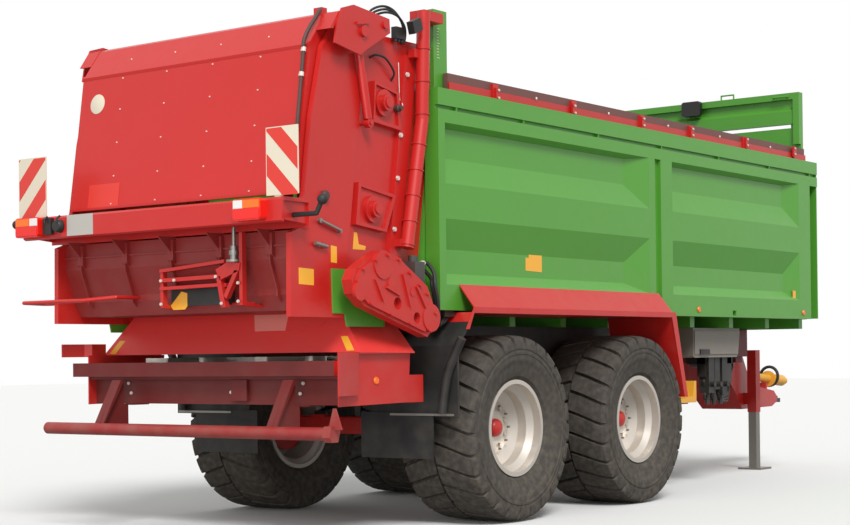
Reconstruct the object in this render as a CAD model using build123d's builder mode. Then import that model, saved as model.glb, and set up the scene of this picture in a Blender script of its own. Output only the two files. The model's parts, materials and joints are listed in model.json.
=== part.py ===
"""Towed twin-axle manure spreader: an open load box with pressed side walls,
a scraper floor, two lying beaters, two spreading discs, a rear flap and a
bogie with four wheels.

Millimetres. +X points to the drawbar, +Y to the machine's left, +Z up.
Z = 0 is the ground, Y = 0 the middle plane, X = 0 half the overall length.
"""

import os
from math import atan2, cos, degrees, hypot, pi, radians, sin

from build123d import *

os.makedirs("parts", exist_ok=True)

# ---------------------------------------------------------------- sizes
# Length
REAR_OVERHANG = 2520        # rear axle to the rear face of the tail lamps
FRONT_REACH = 7445          # rear axle to the front end of the drive shaft
AXLE_X = (REAR_OVERHANG - FRONT_REACH) / 2      # rear axle, in the model's X
REAR_X = AXLE_X - REAR_OVERHANG
FRONT_X = AXLE_X + FRONT_REACH
AXLE_SPACING = 1810
BOGIE_X = AXLE_X + AXLE_SPACING / 2

# Gaps between pieces
SEAT = 0.3                  # between a piece and its seat
RUN = 8                     # between a piece that moves and what it passes

# Wheels
TYRE_RADIUS = 690
TYRE_WIDTH = 650
TYRE_SIDES = 30
LUGS = 12                   # on each half of the tread
LUG_HEIGHT = 38
LUG_THICK = 200
LUG_GROOVE = 16             # half the groove round the middle
LUG_SLANT = 14              # degrees round the wheel from the middle to the edge
WHEEL_Y = 1055              # tyre's middle plane
RIM_FLANGE_RADIUS = 357
RIM_SEAT_RADIUS = 338
RIM_HALF_WIDTH = 270
RIM_WALL = 12
RIM_WELL_RADIUS = 296
RIM_DISC_INSET = 225        # flange face to the disc's outer face
RIM_DISC = 22
HUB_RADIUS = 125
HUB_CAP_RADIUS = 58
HUB_CAP_LENGTH = 62
DRUM_RADIUS = 205
DRUM_LENGTH = 130
WHEEL_BOLTS = 10
WHEEL_BOLT_RADIUS = 11
WHEEL_BOLT_CIRCLE = 335

# Axles and bogie
BEAM = 140
SPINDLE_RADIUS = 48
SPINDLE_END_Y = WHEEL_Y + 20
BACKPLATE = 14
LEAVES = 4
LEAF = 22
LEAF_WIDTH = 100
LEAF_STEP = 130
SPRING_RISE = 120
SPRING_Y = 520
PIVOT_RADIUS = 55

# Chassis
RAIL_Y = SPRING_Y
RAIL_WIDTH = 120
RAIL_TOP = 1455
RAIL_HEIGHT = 270
RAIL_REAR = AXLE_X - 900
RAIL_FRONT = AXLE_X + 5330
CROSS = 100
CROSS_PITCH = 900

# Load box
BOX_WIDTH = 2500
WALL = 120
BOX_REAR = AXLE_X - 830
BOX_FRONT = AXLE_X + 5550
SKIRT_BOTTOM = 1550
WALL_TOP = 3115
SIDE_FRONT = AXLE_X + 5390  # front edge of the pressed side below its rail
FLOOR_TOP = 1600
FLOOR = 40
PRESS_DEPTH = 60
LIP_BOTTOM = 2874
SLOT_BOTTOM = 2967
SLOT_TOP = 2995
SLOT_DEPTH = 28
POST_GROOVE = 30
HALF = BOX_WIDTH / 2
INNER = HALF - WALL

# Front wall
FRONT_WALL = 50
FRONT_TOP = 3830
FRONT_RIM = 65
HEADBOARD_HALF = HALF - 135

# Top boards
BOARD_Y = HALF - 80
BOARD = 40
BOARD_TOP = 3250
STRIP = 14
STRIP_LOW = 3116
STRIP_HIGH = 3185

# Rear frame
POST_TOP = 3700
LEAN_TOP = 3050             # where the posts' leaning rear edge turns upright
POST_IN = INNER - 125
POST_OUT = INNER - 8
GATE = 40
GATE_TOP = 3000
TUBE_RADIUS = 48
TUBE_RING = 7

# Spreader
PLATE_IN = HALF - 165
PLATE = 12
PLATE_OUT = PLATE_IN + PLATE
BAND = 28                   # the side plates' raised rear band
BAND_OUT = PLATE_OUT + BAND
FLANGE = BAND               # and their raised front edge
FLANGE_REAR = -375          # its edges, from the posts' leaning line
FLANGE_FRONT = -245
FOLD = -822                 # the band's front edge, from the same line
TUBE_Y = PLATE_OUT + FLANGE + TUBE_RADIUS + TUBE_RING + SEAT
BEATER_SHAFT = 35
BEATER_TUBE = 100
BEATER_TIP = 350
BEATER_HALF = PLATE_IN - 55
BLADE = 14
BLADE_WIDTH = 90
BLADE_ROWS = 10
UPPER = (AXLE_X - 1300, 2960)       # the beaters' shafts
LOWER = (AXLE_X - 1430, 2225)
DISC_X = AXLE_X - 1370
DISC_Y = 530
DISC_RADIUS = 430
DISC_Z = 1165
DISC_PLATE = 10
VANES = 6
VANE_HEIGHT = 62
TRAY_BOTTOM = 910
TRAY = 190
ROOF_FOOT = 1262            # the disc cover's lower and upper edges
ROOF_TOP = 1538
ROOF_HALF = HALF - 16
ROOF_TOP_HALF = HALF - 250
CHEEK_OUT = ROOF_HALF - 34
SCRAPER_X = AXLE_X - 1060   # the shaft that pulls the scraper chains
SCRAPER_Z = 1490
SCRAPER_SHAFT = 40
CHAIN = 14
CHAIN_SIDES = 12            # links round a sprocket
SLAT_PITCH = 540
CHAIN_YS = (-780, -260, 260, 780)

# Flap
FLAP_SKIN = 24
FLAP_HALF = PLATE_IN - 6
PIVOT_X = AXLE_X - 1380
PIVOT_Z = 3470
ROD_EYE_X = AXLE_X - 1614
ROD_EYE_Z = 3395
BARREL_X = AXLE_X - 1500
BARREL_Z = 2800
BARREL_RADIUS = 30
ROD_RADIUS = 15
CYLINDER_Y = BAND_OUT + BARREL_RADIUS + 5
ARM_IN = CYLINDER_Y + 40
ARM = 14
PIN = 25
FOOT_PIN = 14

# Fenders
FENDER_IN = WHEEL_Y - 310
FENDER_OUT = HALF + 130
FENDER_FRONT = AXLE_X + 2300

# Underride, lamps
GUARD_RADIUS = 43
GUARD_HALF = HALF + 120
GUARD_X = AXLE_X - 2140
GUARD_Z = 737
GUARD_LUG = ((-54, -20), (-32, -52), (32, -52), (54, 16), (24, 54), (-36, 50))
LEG_Y = 822
LAMP_BAR_HALF = HALF - 25
LAMP_SPANS = ((1000, 1240), (-1100, -860))
BOARD_SPANS = (              # side, back face, y from, y to; both clear the lifting flap
    (1, -2366, FLAP_HALF + 7, FLAP_HALF + 302), (-1, -2446, -FLAP_HALF - 276, -FLAP_HALF - 7),
)
HOOD_RIBS = (-900, -450, 0, 450, 900)

# Drawbar, jack, drive shaft
EYE_X = AXLE_X + 7180
EYE_Z = 690
EYE_BORE = 25
EYE_RING = 62
EYE_THICK = 45
JACK_X = AXLE_X + 5980
JACK_Y = 330
JACK_TUBE = 50
JACK_WALL = 6
SHAFT_TOP_Z = 985
SHAFT_END_Z = 900
YOKE_BORE = 17.5

SIDES = (("right", -1), ("left", 1))


# ---------------------------------------------------------------- helpers
def save(piece, label):
    """Label a finished piece and write its STEP file."""
    piece.part.label = label
    export_step(piece.part, f"parts/{label}.step")


def back(points):
    """Points given as (distance ahead of the rear axle, height)."""
    return [(AXLE_X + x, z) for x, z in points]


def pair(side, near, far):
    """A Y interval on one side of the machine, lowest first."""
    return min(side * near, side * far), max(side * near, side * far)


def block(x, y, z, mode=Mode.ADD):
    """A square block between three (low, high) intervals."""
    centre = ((x[0] + x[1]) / 2, (y[0] + y[1]) / 2, (z[0] + z[1]) / 2)
    with Locations(centre):
        Box(x[1] - x[0], y[1] - y[0], z[1] - z[0], mode=mode)


def side_plate(points, y, mode=Mode.ADD):
    """A plate with an (X, Z) outline between two Y values."""
    with BuildSketch(Plane.XZ.offset(-y[1])) as outline:
        with BuildLine():
            Polyline(points, close=True)
        make_face()
    extrude(outline.sketch, amount=y[1] - y[0], mode=mode)


def cross_plate(points, x, mode=Mode.ADD):
    """A plate with a (Y, Z) outline between two X values."""
    with BuildSketch(Plane.YZ.offset(x[0])) as outline:
        with BuildLine():
            Polyline(points, close=True)
        make_face()
    extrude(outline.sketch, amount=x[1] - x[0], mode=mode)


def flat_plate(points, z, mode=Mode.ADD):
    """A plate with an (X, Y) outline between two Z values."""
    with BuildSketch(Plane.XY.offset(z[0])) as outline:
        with BuildLine():
            Polyline(points, close=True)
        make_face()
    extrude(outline.sketch, amount=z[1] - z[0], mode=mode)


def bar(start, end, radius, mode=Mode.ADD):
    """A round bar from one point to another."""
    run = Vector(*end) - Vector(*start)
    with BuildSketch(Plane(origin=start, z_dir=run)) as section:
        Circle(radius)
    extrude(section.sketch, amount=run.length, mode=mode)


def along(start, end, share):
    """The point at a share of the way from start to end."""
    return tuple(a + (b - a) * share for a, b in zip(start, end))


# ---------------------------------------------------------------- wheels
def wheel_plane(x, side):
    """Local x runs outward along the axle, local y away from it."""
    return Plane(origin=(x, side * WHEEL_Y, TYRE_RADIUS),
                 x_dir=(0, side, 0), z_dir=(side, 0, 0))


def wheel_axis(x, side):
    return Axis((x, side * WHEEL_Y, TYRE_RADIUS), (0, side, 0))


def make_tyre_shape():
    """A tyre round the Z axis: flat facets and slanted lugs, so that it stays light."""
    half = TYRE_WIDTH / 2
    base = TYRE_RADIUS - LUG_HEIGHT
    bead = RIM_HALF_WIDTH - 22
    toe = RIM_FLANGE_RADIUS + 6
    bulge = (toe + base) / 2 + 20
    sections = (                # distance out from the middle plane, radius
        (-bead, toe), (-half, bulge), (-half + 25, base - 22), (0, base),
        (half - 25, base - 22), (half, bulge), (bead, toe),
    )
    lug = (                     # distance out, below the base, below the tip
        (LUG_GROOVE, 30, 0), (half - 18, 75, 20),
    )
    tip = (TYRE_RADIUS ** 2 - (LUG_THICK / 2) ** 2) ** 0.5
    lean = atan2(LUG_THICK / 2, tip)
    with BuildPart() as tyre:
        rings = []
        for out, radius in sections:
            with BuildSketch(Plane.XY.offset(out)) as ring:
                RegularPolygon(radius, TYRE_SIDES)
            rings.append(ring.sketch)
        loft(rings, ruled=True)
        with BuildSketch(Plane.XY.offset(-half)) as bore:
            RegularPolygon((RIM_SEAT_RADIUS + SEAT) / cos(pi / TYRE_SIDES), TYRE_SIDES)
        extrude(bore.sketch, amount=TYRE_WIDTH, mode=Mode.SUBTRACT)
        for row in (1, -1):
            for number in range(LUGS):
                stagger = 0 if row > 0 else pi / LUGS
                turn = -pi / 2 - lean + stagger + number * 2 * pi / LUGS
                cuts = []
                for out, below, lower in lug:
                    angle = turn + row * radians(LUG_SLANT) * (out - LUG_GROOVE) / half
                    plane = Plane(origin=(0, 0, row * out), z_dir=(0, 0, 1),
                                  x_dir=(cos(angle), sin(angle), 0))
                    with BuildSketch(plane) as cut:
                        with Locations(((base - below + tip - lower) / 2, 0)):
                            Rectangle(tip - lower - base + below, LUG_THICK)
                    cuts.append(cut.sketch)
                loft(cuts, ruled=True)
    return tyre.part


def make_tyre(label, x, side):
    plane = Plane(origin=(x, side * WHEEL_Y, TYRE_RADIUS), x_dir=(1, 0, 0), z_dir=(0, side, 0))
    with BuildPart() as tyre:
        add(TYRE_SHAPE.moved(plane.location))
    save(tyre, label)


def make_rim(label, x, side):
    half = RIM_HALF_WIDTH
    seat = RIM_SEAT_RADIUS
    well = RIM_WELL_RADIUS
    disc = half - RIM_DISC_INSET
    drum_end = disc - RIM_DISC - DRUM_LENGTH
    with BuildPart() as rim:
        with BuildSketch(wheel_plane(x, side)):
            with BuildLine():
                Polyline([
                    (half, RIM_FLANGE_RADIUS), (half - 20, RIM_FLANGE_RADIUS), (half - 22, seat),
                    (half - 70, seat), (half - 110, well), (-half + 60, well), (-half + 40, seat),
                    (-half + 22, seat), (-half + 20, RIM_FLANGE_RADIUS), (-half, RIM_FLANGE_RADIUS),
                    (-half, seat - RIM_WALL), (-half + 32, seat - RIM_WALL),
                    (-half + 52, well - RIM_WALL), (disc - RIM_DISC, well - RIM_WALL),
                    (disc - RIM_DISC, DRUM_RADIUS), (drum_end, DRUM_RADIUS),
                    (drum_end, SPINDLE_RADIUS + SEAT), (disc + 14, SPINDLE_RADIUS + SEAT),
                    (disc + 14, 0), (disc + HUB_CAP_LENGTH, 0),
                    (disc + HUB_CAP_LENGTH, HUB_CAP_RADIUS - 12),
                    (disc + HUB_CAP_LENGTH - 12, HUB_CAP_RADIUS),
                    (disc + 26, HUB_CAP_RADIUS), (disc + 26, HUB_RADIUS), (disc, HUB_RADIUS),
                    (disc, well - RIM_WALL - 70), (disc + 45, well - RIM_WALL),
                    (half - 104, well - RIM_WALL), (half - 64, seat - RIM_WALL),
                    (half, seat - RIM_WALL),
                ], close=True)
            make_face()
        revolve(axis=wheel_axis(x, side))
        face = Plane(origin=(x, side * (WHEEL_Y + disc), TYRE_RADIUS), z_dir=(0, side, 0))
        with BuildSketch(face):
            with PolarLocations(WHEEL_BOLT_CIRCLE / 2, WHEEL_BOLTS):
                RegularPolygon(WHEEL_BOLT_RADIUS * 1.6, 6)
        extrude(amount=18)
    save(rim, label)


def make_axle(label, x):
    spring_seat = TYRE_RADIUS + BEAM / 2
    disc = WHEEL_Y + RIM_HALF_WIDTH - RIM_DISC_INSET
    drum_end = disc - RIM_DISC - DRUM_LENGTH
    beam_end = drum_end - RUN - BACKPLATE
    with BuildPart() as axle:
        block((x - BEAM / 2, x + BEAM / 2), (-beam_end, beam_end),
              (TYRE_RADIUS - BEAM / 2, TYRE_RADIUS + BEAM / 2))
        fillet(axle.edges().filter_by(Axis.Y), 14)
        for side in (-1, 1):
            bar((x, side * beam_end, TYRE_RADIUS),
                (x, side * (beam_end + BACKPLATE), TYRE_RADIUS), DRUM_RADIUS + 6)
            bar((x, side * beam_end, TYRE_RADIUS), (x, side * SPINDLE_END_Y, TYRE_RADIUS),
                SPINDLE_RADIUS)
            block((x - 90, x + 90), pair(side, SPRING_Y - 70, SPRING_Y + 70),
                  (spring_seat - 10, spring_seat + 14))
            bar((x + 120, side * (SPRING_Y + 110), TYRE_RADIUS),
                (x + 120, side * (beam_end + BACKPLATE - 1), TYRE_RADIUS), 60)
            block((x + 40, x + 130), pair(side, SPRING_Y + 115, SPRING_Y + 135),
                  (TYRE_RADIUS - 50, TYRE_RADIUS + 50))
    save(axle, label)


def make_bogie():
    """Leaf packs from axle to axle, clamped on a pivot below the rails."""
    half = AXLE_SPACING / 2 + 70
    low = TYRE_RADIUS + BEAM / 2 + 14 + SEAT
    pack_top = low + SPRING_RISE + LEAVES * LEAF
    with BuildPart() as bogie:
        for side in (-1, 1):
            y = pair(side, SPRING_Y - LEAF_WIDTH / 2, SPRING_Y + LEAF_WIDTH / 2)
            for leaf in range(LEAVES):
                reach = half - leaf * LEAF_STEP
                drop = SPRING_RISE * (reach / half) ** 2
                top = low + SPRING_RISE + leaf * LEAF
                with BuildSketch(Plane.XZ.offset(-y[1])):
                    with BuildLine():
                        ThreePointArc((BOGIE_X - reach, top - drop), (BOGIE_X, top),
                                      (BOGIE_X + reach, top - drop))
                        Line((BOGIE_X + reach, top - drop), (BOGIE_X + reach, top - drop + LEAF))
                        ThreePointArc((BOGIE_X + reach, top - drop + LEAF), (BOGIE_X, top + LEAF),
                                      (BOGIE_X - reach, top - drop + LEAF))
                        Line((BOGIE_X - reach, top - drop + LEAF), (BOGIE_X - reach, top - drop))
                    make_face()
                extrude(amount=y[1] - y[0])
            block((BOGIE_X - 130, BOGIE_X + 130), (y[0] - 14, y[1] + 14),
                  (low + SPRING_RISE - 30, pack_top + 10))
            block((BOGIE_X - 150, BOGIE_X + 150), pair(side, RAIL_Y - RAIL_WIDTH / 2 + 5, RAIL_Y + 55),
                  (pack_top, RAIL_TOP - RAIL_HEIGHT - SEAT))
        bar((BOGIE_X, -SPRING_Y - 90, pack_top + 55), (BOGIE_X, SPRING_Y + 90, pack_top + 55),
            PIVOT_RADIUS)
    save(bogie, "bogie_springs")


# ---------------------------------------------------------------- chassis
def make_chassis():
    with BuildPart() as chassis:
        for side in (-1, 1):
            block((RAIL_REAR, RAIL_FRONT),
                  pair(side, RAIL_Y - RAIL_WIDTH / 2, RAIL_Y + RAIL_WIDTH / 2),
                  (RAIL_TOP - RAIL_HEIGHT, RAIL_TOP))
        beams = int((RAIL_FRONT - RAIL_REAR - 200) // CROSS_PITCH)
        for index in range(beams + 1):
            x = RAIL_REAR + 120 + index * (RAIL_FRONT - RAIL_REAR - 240) / beams
            block((x - CROSS / 2, x + CROSS / 2), (-RAIL_Y, RAIL_Y),
                  (RAIL_TOP - RAIL_HEIGHT + 50, RAIL_TOP - 50))
        block((RAIL_FRONT - 140, RAIL_FRONT), (-RAIL_Y, RAIL_Y),
              (RAIL_TOP - RAIL_HEIGHT - 60, RAIL_TOP))
        hanger_top = RAIL_TOP - RAIL_HEIGHT
        block((AXLE_X + 3170, AXLE_X + 3250), (-RAIL_Y - 40, -RAIL_Y - 30), (770, hanger_top + 5))
        block((AXLE_X + 3170, AXLE_X + 3250), (-1010, -RAIL_Y - 30), (770, 779.7))
    save(chassis, "chassis_frame")


def make_floor():
    """Boards on cross beams; the beams reach from wall to wall."""
    with BuildPart() as floor:
        block((BOX_REAR, BOX_FRONT - FRONT_WALL), (-INNER + SEAT, INNER - SEAT),
              (FLOOR_TOP - FLOOR, FLOOR_TOP))
        beams = int((BOX_FRONT - BOX_REAR - 300) // 700)
        for index in range(beams + 1):
            x = BOX_REAR + 150 + index * (BOX_FRONT - BOX_REAR - 300) / beams
            half = FENDER_IN - 10 if x < FENDER_FRONT + 120 else INNER - SEAT
            block((x - 40, x + 40), (-half, half), (RAIL_TOP + SEAT, FLOOR_TOP - FLOOR))
    save(floor, "floor")


def make_scraper():
    """Four chains with cross slats on the floor, and the shaft that pulls them."""
    slat_z = FLOOR_TOP + CHAIN
    front = BOX_FRONT - FRONT_WALL - 160
    rear = BOX_REAR + 60
    reach = (slat_z - SCRAPER_Z) / cos(pi / CHAIN_SIDES)
    with BuildPart() as scraper:
        bar((SCRAPER_X, -CASE_IN + SEAT, SCRAPER_Z), (SCRAPER_X, BAND_OUT + 20, SCRAPER_Z), SCRAPER_SHAFT)
        for y in CHAIN_YS:
            block((SCRAPER_X, front), (y - 22, y + 22), (FLOOR_TOP + SEAT, slat_z))
            with BuildSketch(Plane.XZ.offset(-y - 22)) as wrap:
                with Locations(Location((SCRAPER_X, SCRAPER_Z), 180 / CHAIN_SIDES)):
                    RegularPolygon(reach, CHAIN_SIDES)
            extrude(wrap.sketch, amount=44)
        count = int((front - rear) // SLAT_PITCH)
        for index in range(count + 1):
            x = rear + 20 + index * (front - rear - 40) / count
            block((x - 25, x + 25), (-POST_IN + 20, POST_IN - 20), (FLOOR_TOP + SEAT, slat_z + 22))
    save(scraper, "scraper_floor")



# ---------------------------------------------------------------- load box
WALL_BANDS = (              # bottom edge, bottom flat, top flat, top edge
    (1732, 1812, 1984, 2197),
    (2446, 2630, 2840, LIP_BOTTOM),
)
WALL_BAYS = (               # start, start of flat, end of flat, end, all ahead of the axle
    (-750, -745, 1820, 2160),
    (2560, 2565, 4870, 5130),
)


def make_pressing(side, band, bay):
    """The hollow pressed into one band of one bay, sloping at every edge."""
    outer = side * HALF
    deep = side * (HALF - PRESS_DEPTH)
    bottom, flat_low, flat_high, top = band
    start, flat_start, flat_end, end = (AXLE_X + x for x in bay)
    with BuildPart() as pressing:
        cross_plate([(outer, bottom), (deep, flat_low), (deep, flat_high), (outer, top)],
                    (start, end))
        flat_plate([(start, outer), (flat_start, deep), (flat_end, deep), (end, outer)],
                   (bottom, top), mode=Mode.INTERSECT)
    return pressing.part


def make_wall(label, side):
    pressings = [make_pressing(side, band, bay) for band in WALL_BANDS for bay in WALL_BAYS]
    with BuildPart() as wall:
        block((BOX_REAR, SIDE_FRONT), pair(side, INNER, HALF), (SKIRT_BOTTOM, LIP_BOTTOM))
        block((BOX_REAR, BOX_FRONT + 20), pair(side, INNER, HALF), (LIP_BOTTOM, WALL_TOP))
        add(pressings, mode=Mode.SUBTRACT)
        block((BOX_REAR, BOX_FRONT + 20), pair(side, HALF - SLOT_DEPTH, HALF),
              (SLOT_BOTTOM, SLOT_TOP), mode=Mode.SUBTRACT)
        block((AXLE_X + 2260, AXLE_X + 2360), pair(side, HALF - POST_GROOVE, HALF),
              (SKIRT_BOTTOM, LIP_BOTTOM), mode=Mode.SUBTRACT)
        block((AXLE_X + 3680, AXLE_X + 3750), pair(side, HALF - POST_GROOVE, HALF),
              (SKIRT_BOTTOM + 15, SKIRT_BOTTOM + 60), mode=Mode.SUBTRACT)
    save(wall, label)


def make_front_wall():
    """Headboard with a folded rim, a slot to look through and two handle hoops."""
    back_face = BOX_FRONT - FRONT_WALL
    rim_in = HEADBOARD_HALF - FRONT_RIM
    with BuildPart() as front:
        block((back_face, BOX_FRONT), (-INNER + SEAT, INNER - SEAT), (SKIRT_BOTTOM, WALL_TOP))
        block((back_face, BOX_FRONT), (-HEADBOARD_HALF, HEADBOARD_HALF), (WALL_TOP, FRONT_TOP))
        for side in (-1, 1):
            block((back_face - 40, back_face), pair(side, rim_in, HEADBOARD_HALF),
                  (BOARD_TOP + 60, FRONT_TOP))
        block((back_face - 40, back_face), (-HEADBOARD_HALF, HEADBOARD_HALF),
              (FRONT_TOP - FRONT_RIM, FRONT_TOP))
        side_plate([(back_face, FRONT_TOP - 310), (back_face - 25, FRONT_TOP - 310),
                    (back_face - 25, FRONT_TOP - 180), (back_face, FRONT_TOP - 150)],
                   (-rim_in, rim_in))
        block((back_face - 30, BOX_FRONT + 5), (-rim_in + 40, rim_in - 40),
              (FRONT_TOP - 350, FRONT_TOP - 310), mode=Mode.SUBTRACT)
        for near, far, rise, ahead in ((-390, -250, 45, 20), (-1000, -850, -38, -22)):
            top = FRONT_TOP + rise
            x = back_face - 40 + ahead
            if rise > 0:
                feet = [(x, y, FRONT_TOP - 10) for y in (near, far)]
            else:
                feet = [(back_face - 30, y, top) for y in (near, far)]
            bends = [(x, near, top), (x, far, top)]
            for start, end in (bends, (feet[0], bends[0]), (feet[1], bends[1])):
                bar(start, end, 8)
            with Locations(bends):
                Sphere(8)
    save(front, "front_wall")


def make_work_lamp():
    face = BOX_FRONT - FRONT_WALL - 40 - SEAT
    with BuildPart() as lamp:
        block((face - 60, face), (-40, 170), (FRONT_TOP - 140, FRONT_TOP + 10))
        fillet(lamp.edges().filter_by(Axis.X), 25)
        block((face - 30, face), (40, 90), (FRONT_TOP - 100, FRONT_TOP - 60))
    save(lamp, "work_lamp")


def make_top_boards():
    start = AXLE_X - 600
    end = BOX_FRONT - FRONT_WALL - 50
    with BuildPart() as boards:
        for side in (-1, 1):
            block((start, end), pair(side, BOARD_Y - BOARD, BOARD_Y), (WALL_TOP + SEAT, BOARD_TOP))
    save(boards, "top_boards")
    with BuildPart() as strips:
        for side in (-1, 1):
            block((start, end), pair(side, BOARD_Y + SEAT, BOARD_Y + STRIP), (STRIP_LOW, STRIP_HIGH))
            for x in (-30, 1070, 2160, 3030, 4080, 5180):
                block((AXLE_X + x - 35, AXLE_X + x + 35),
                      pair(side, BOARD_Y + SEAT, BOARD_Y + 26), (STRIP_LOW, BOARD_TOP - 15))
    save(strips, "board_strips")


# ---------------------------------------------------------------- rear frame
REAR_LINE = ((-870, 1910), (-700, LEAN_TOP))    # leaning rear edge of the gate posts
LEAN = (REAR_LINE[1][0] - REAR_LINE[0][0]) / (REAR_LINE[1][1] - REAR_LINE[0][1])


def rear_line(z, ahead=0):
    """X on the leaning line of the posts' rear edge at height z."""
    return AXLE_X + REAR_LINE[0][0] + (z - REAR_LINE[0][1]) * LEAN + ahead


def make_gate_posts():
    front = AXLE_X - 540
    foot = FLOOR_TOP + SEAT
    with BuildPart() as posts:
        for side in (-1, 1):
            side_plate([(rear_line(foot), foot), (front, foot), (front, POST_TOP),
                        (rear_line(LEAN_TOP), POST_TOP), (rear_line(LEAN_TOP), LEAN_TOP)],
                       pair(side, POST_IN, POST_OUT))
            side_plate([(rear_line(foot, 95), foot), (rear_line(foot, 160), foot),
                        (rear_line(POST_TOP, 160), POST_TOP), (rear_line(POST_TOP, 95), POST_TOP)],
                       pair(side, POST_IN, POST_IN + 50), mode=Mode.SUBTRACT)
    save(posts, "gate_posts")


def make_gate():
    foot = FLOOR_TOP + 60
    low, high = 95 + RUN, 95 + RUN + GATE
    with BuildPart() as gate:
        side_plate([(rear_line(foot, low), foot), (rear_line(foot, high), foot),
                    (rear_line(GATE_TOP, high), GATE_TOP), (rear_line(GATE_TOP, low), GATE_TOP)],
                   (-POST_IN - 50 + SEAT, POST_IN + 50 - SEAT))
        for share in (0.2, 0.5, 0.8):
            z = foot + (GATE_TOP - foot) * share
            block((rear_line(z, high) - 5, rear_line(z, high) + 30), (-POST_IN + 60, POST_IN - 60),
                  (z - 40, z + 40))
    save(gate, "slurry_gate")


TUBE_LINE = ((-1117, 1975), (-925, 2876), (-893, 3640))
TUBE_SEAMS = ((0.02, 0.2, 0.4, 0.6, 0.8), (0.05, 0.35, 0.65))


def make_guard_tubes():
    """Segmented tubes up the front edge of the side plates."""
    points = back(TUBE_LINE)
    with BuildPart() as tubes:
        for side in (-1, 1):
            path = [(x, side * TUBE_Y, z) for x, z in points]
            for start, end, shares in zip(path, path[1:], TUBE_SEAMS):
                bar(start, end, TUBE_RADIUS)
                step = 9 / abs(end[2] - start[2])
                for share in shares:
                    bar(along(start, end, share), along(start, end, share + step),
                        TUBE_RADIUS + TUBE_RING)
            with Locations(path[1]):
                Sphere(TUBE_RADIUS)
            x, y, z = path[-1]
            block((x - 30, rear_line(LEAN_TOP) - SEAT), pair(side, POST_OUT - 40, TUBE_Y + 30),
                  (z - 60, z + 10))
            block((x - 110, x + 20), pair(side, PLATE_OUT + FLANGE + SEAT, TUBE_Y), (z - 330, z - 270))
            x, y, z = path[0]
            block((x - 70, x + 20), pair(side, PLATE_OUT + FLANGE + SEAT, TUBE_Y), (z + 10, z + 60))
    save(tubes, "guard_tubes")


# ---------------------------------------------------------------- spreader
PLATE_OUTLINE = (           # rear edge of the side plates, top to bottom
    (-1800, 3430), (-1925, 3270), (-2045, 2795), (-2120, 2300), (-2140, 2240), (-2190, 2235),
    (-2190, 2056), (-2262, 2030), (-2270, 1490),
)
UPPER_BOX = ((-100, 140), (170, 90), (190, -170), (-120, -140))     # round the shafts
LOWER_BOX = ((-155, 173), (255, 113), (140, -147), (-190, -112))


def make_spreader_side(label, side):
    """Side plate with a raised rear band, foot and front flange round a channel."""
    foot = PLATE_OUTLINE[-1][1]
    top = PLATE_OUTLINE[0][1]
    rear = back(PLATE_OUTLINE)
    skin = pair(side, PLATE_IN, PLATE_OUT)
    raised = pair(side, PLATE_OUT - 1, BAND_OUT)
    gap = -12
    with BuildPart() as plate:
        side_plate(rear + [(SCRAPER_X + 90, foot), (rear_line(1760, gap), 1760),
                           (rear_line(LEAN_TOP, gap), LEAN_TOP), (rear_line(LEAN_TOP, gap), top)], skin)
        side_plate(rear + [(rear_line(foot, FOLD), foot), (rear_line(top, FOLD), top)], raised)
        side_plate([(rear_line(foot, FOLD) - 20, foot), (SCRAPER_X + 90, foot), (SCRAPER_X + 90, 1790),
                    (rear_line(1830, FOLD) - 20, 1830)], raised)
        side_plate([(rear_line(1780, FLANGE_REAR), 1780), (rear_line(1780, FLANGE_FRONT), 1780),
                    (rear_line(3330, FLANGE_FRONT), 3330), (rear_line(3330, FLANGE_REAR), 3330)],
                   pair(side, PLATE_OUT - 1, PLATE_OUT + FLANGE))
        for (x, z), outline in ((UPPER, UPPER_BOX), (LOWER, LOWER_BOX)):
            frame = [(x + dx, z + dz) for dx, dz in outline]
            inset = [(x + dx * 0.84, z + dz * 0.84) for dx, dz in outline]
            side_plate(frame, pair(side, PLATE_OUT - 1, PLATE_OUT + 44))
            side_plate(inset, pair(side, PLATE_OUT + 26, PLATE_OUT + 60), mode=Mode.SUBTRACT)
            bar((x, side * (PLATE_IN + 1), z), (x, side * (PLATE_OUT + 52), z), 92)
            bar((x, side * (PLATE_IN - 1), z), (x, side * (PLATE_OUT + 84), z), BEATER_SHAFT + 22)
            bar((x, side * (PLATE_IN - 5), z), (x, side * (PLATE_OUT + 90), z),
                BEATER_SHAFT + SEAT, mode=Mode.SUBTRACT)
        bar((SCRAPER_X, side * (PLATE_IN - 5), SCRAPER_Z), (SCRAPER_X, side * (BAND_OUT + 5), SCRAPER_Z),
            SCRAPER_SHAFT + SEAT, mode=Mode.SUBTRACT)
        bar((PIVOT_X, side * PLATE_IN, PIVOT_Z), (PIVOT_X, side * (ARM_IN - SEAT), PIVOT_Z), 60)
        bar((PIVOT_X, side * PLATE_IN, PIVOT_Z), (PIVOT_X, side * (ARM_IN + ARM + 16), PIVOT_Z), PIN)
        bar((BARREL_X, side * PLATE_IN, BARREL_Z), (BARREL_X, side * (CYLINDER_Y + 30), BARREL_Z),
            FOOT_PIN)
    save(plate, label)


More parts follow.
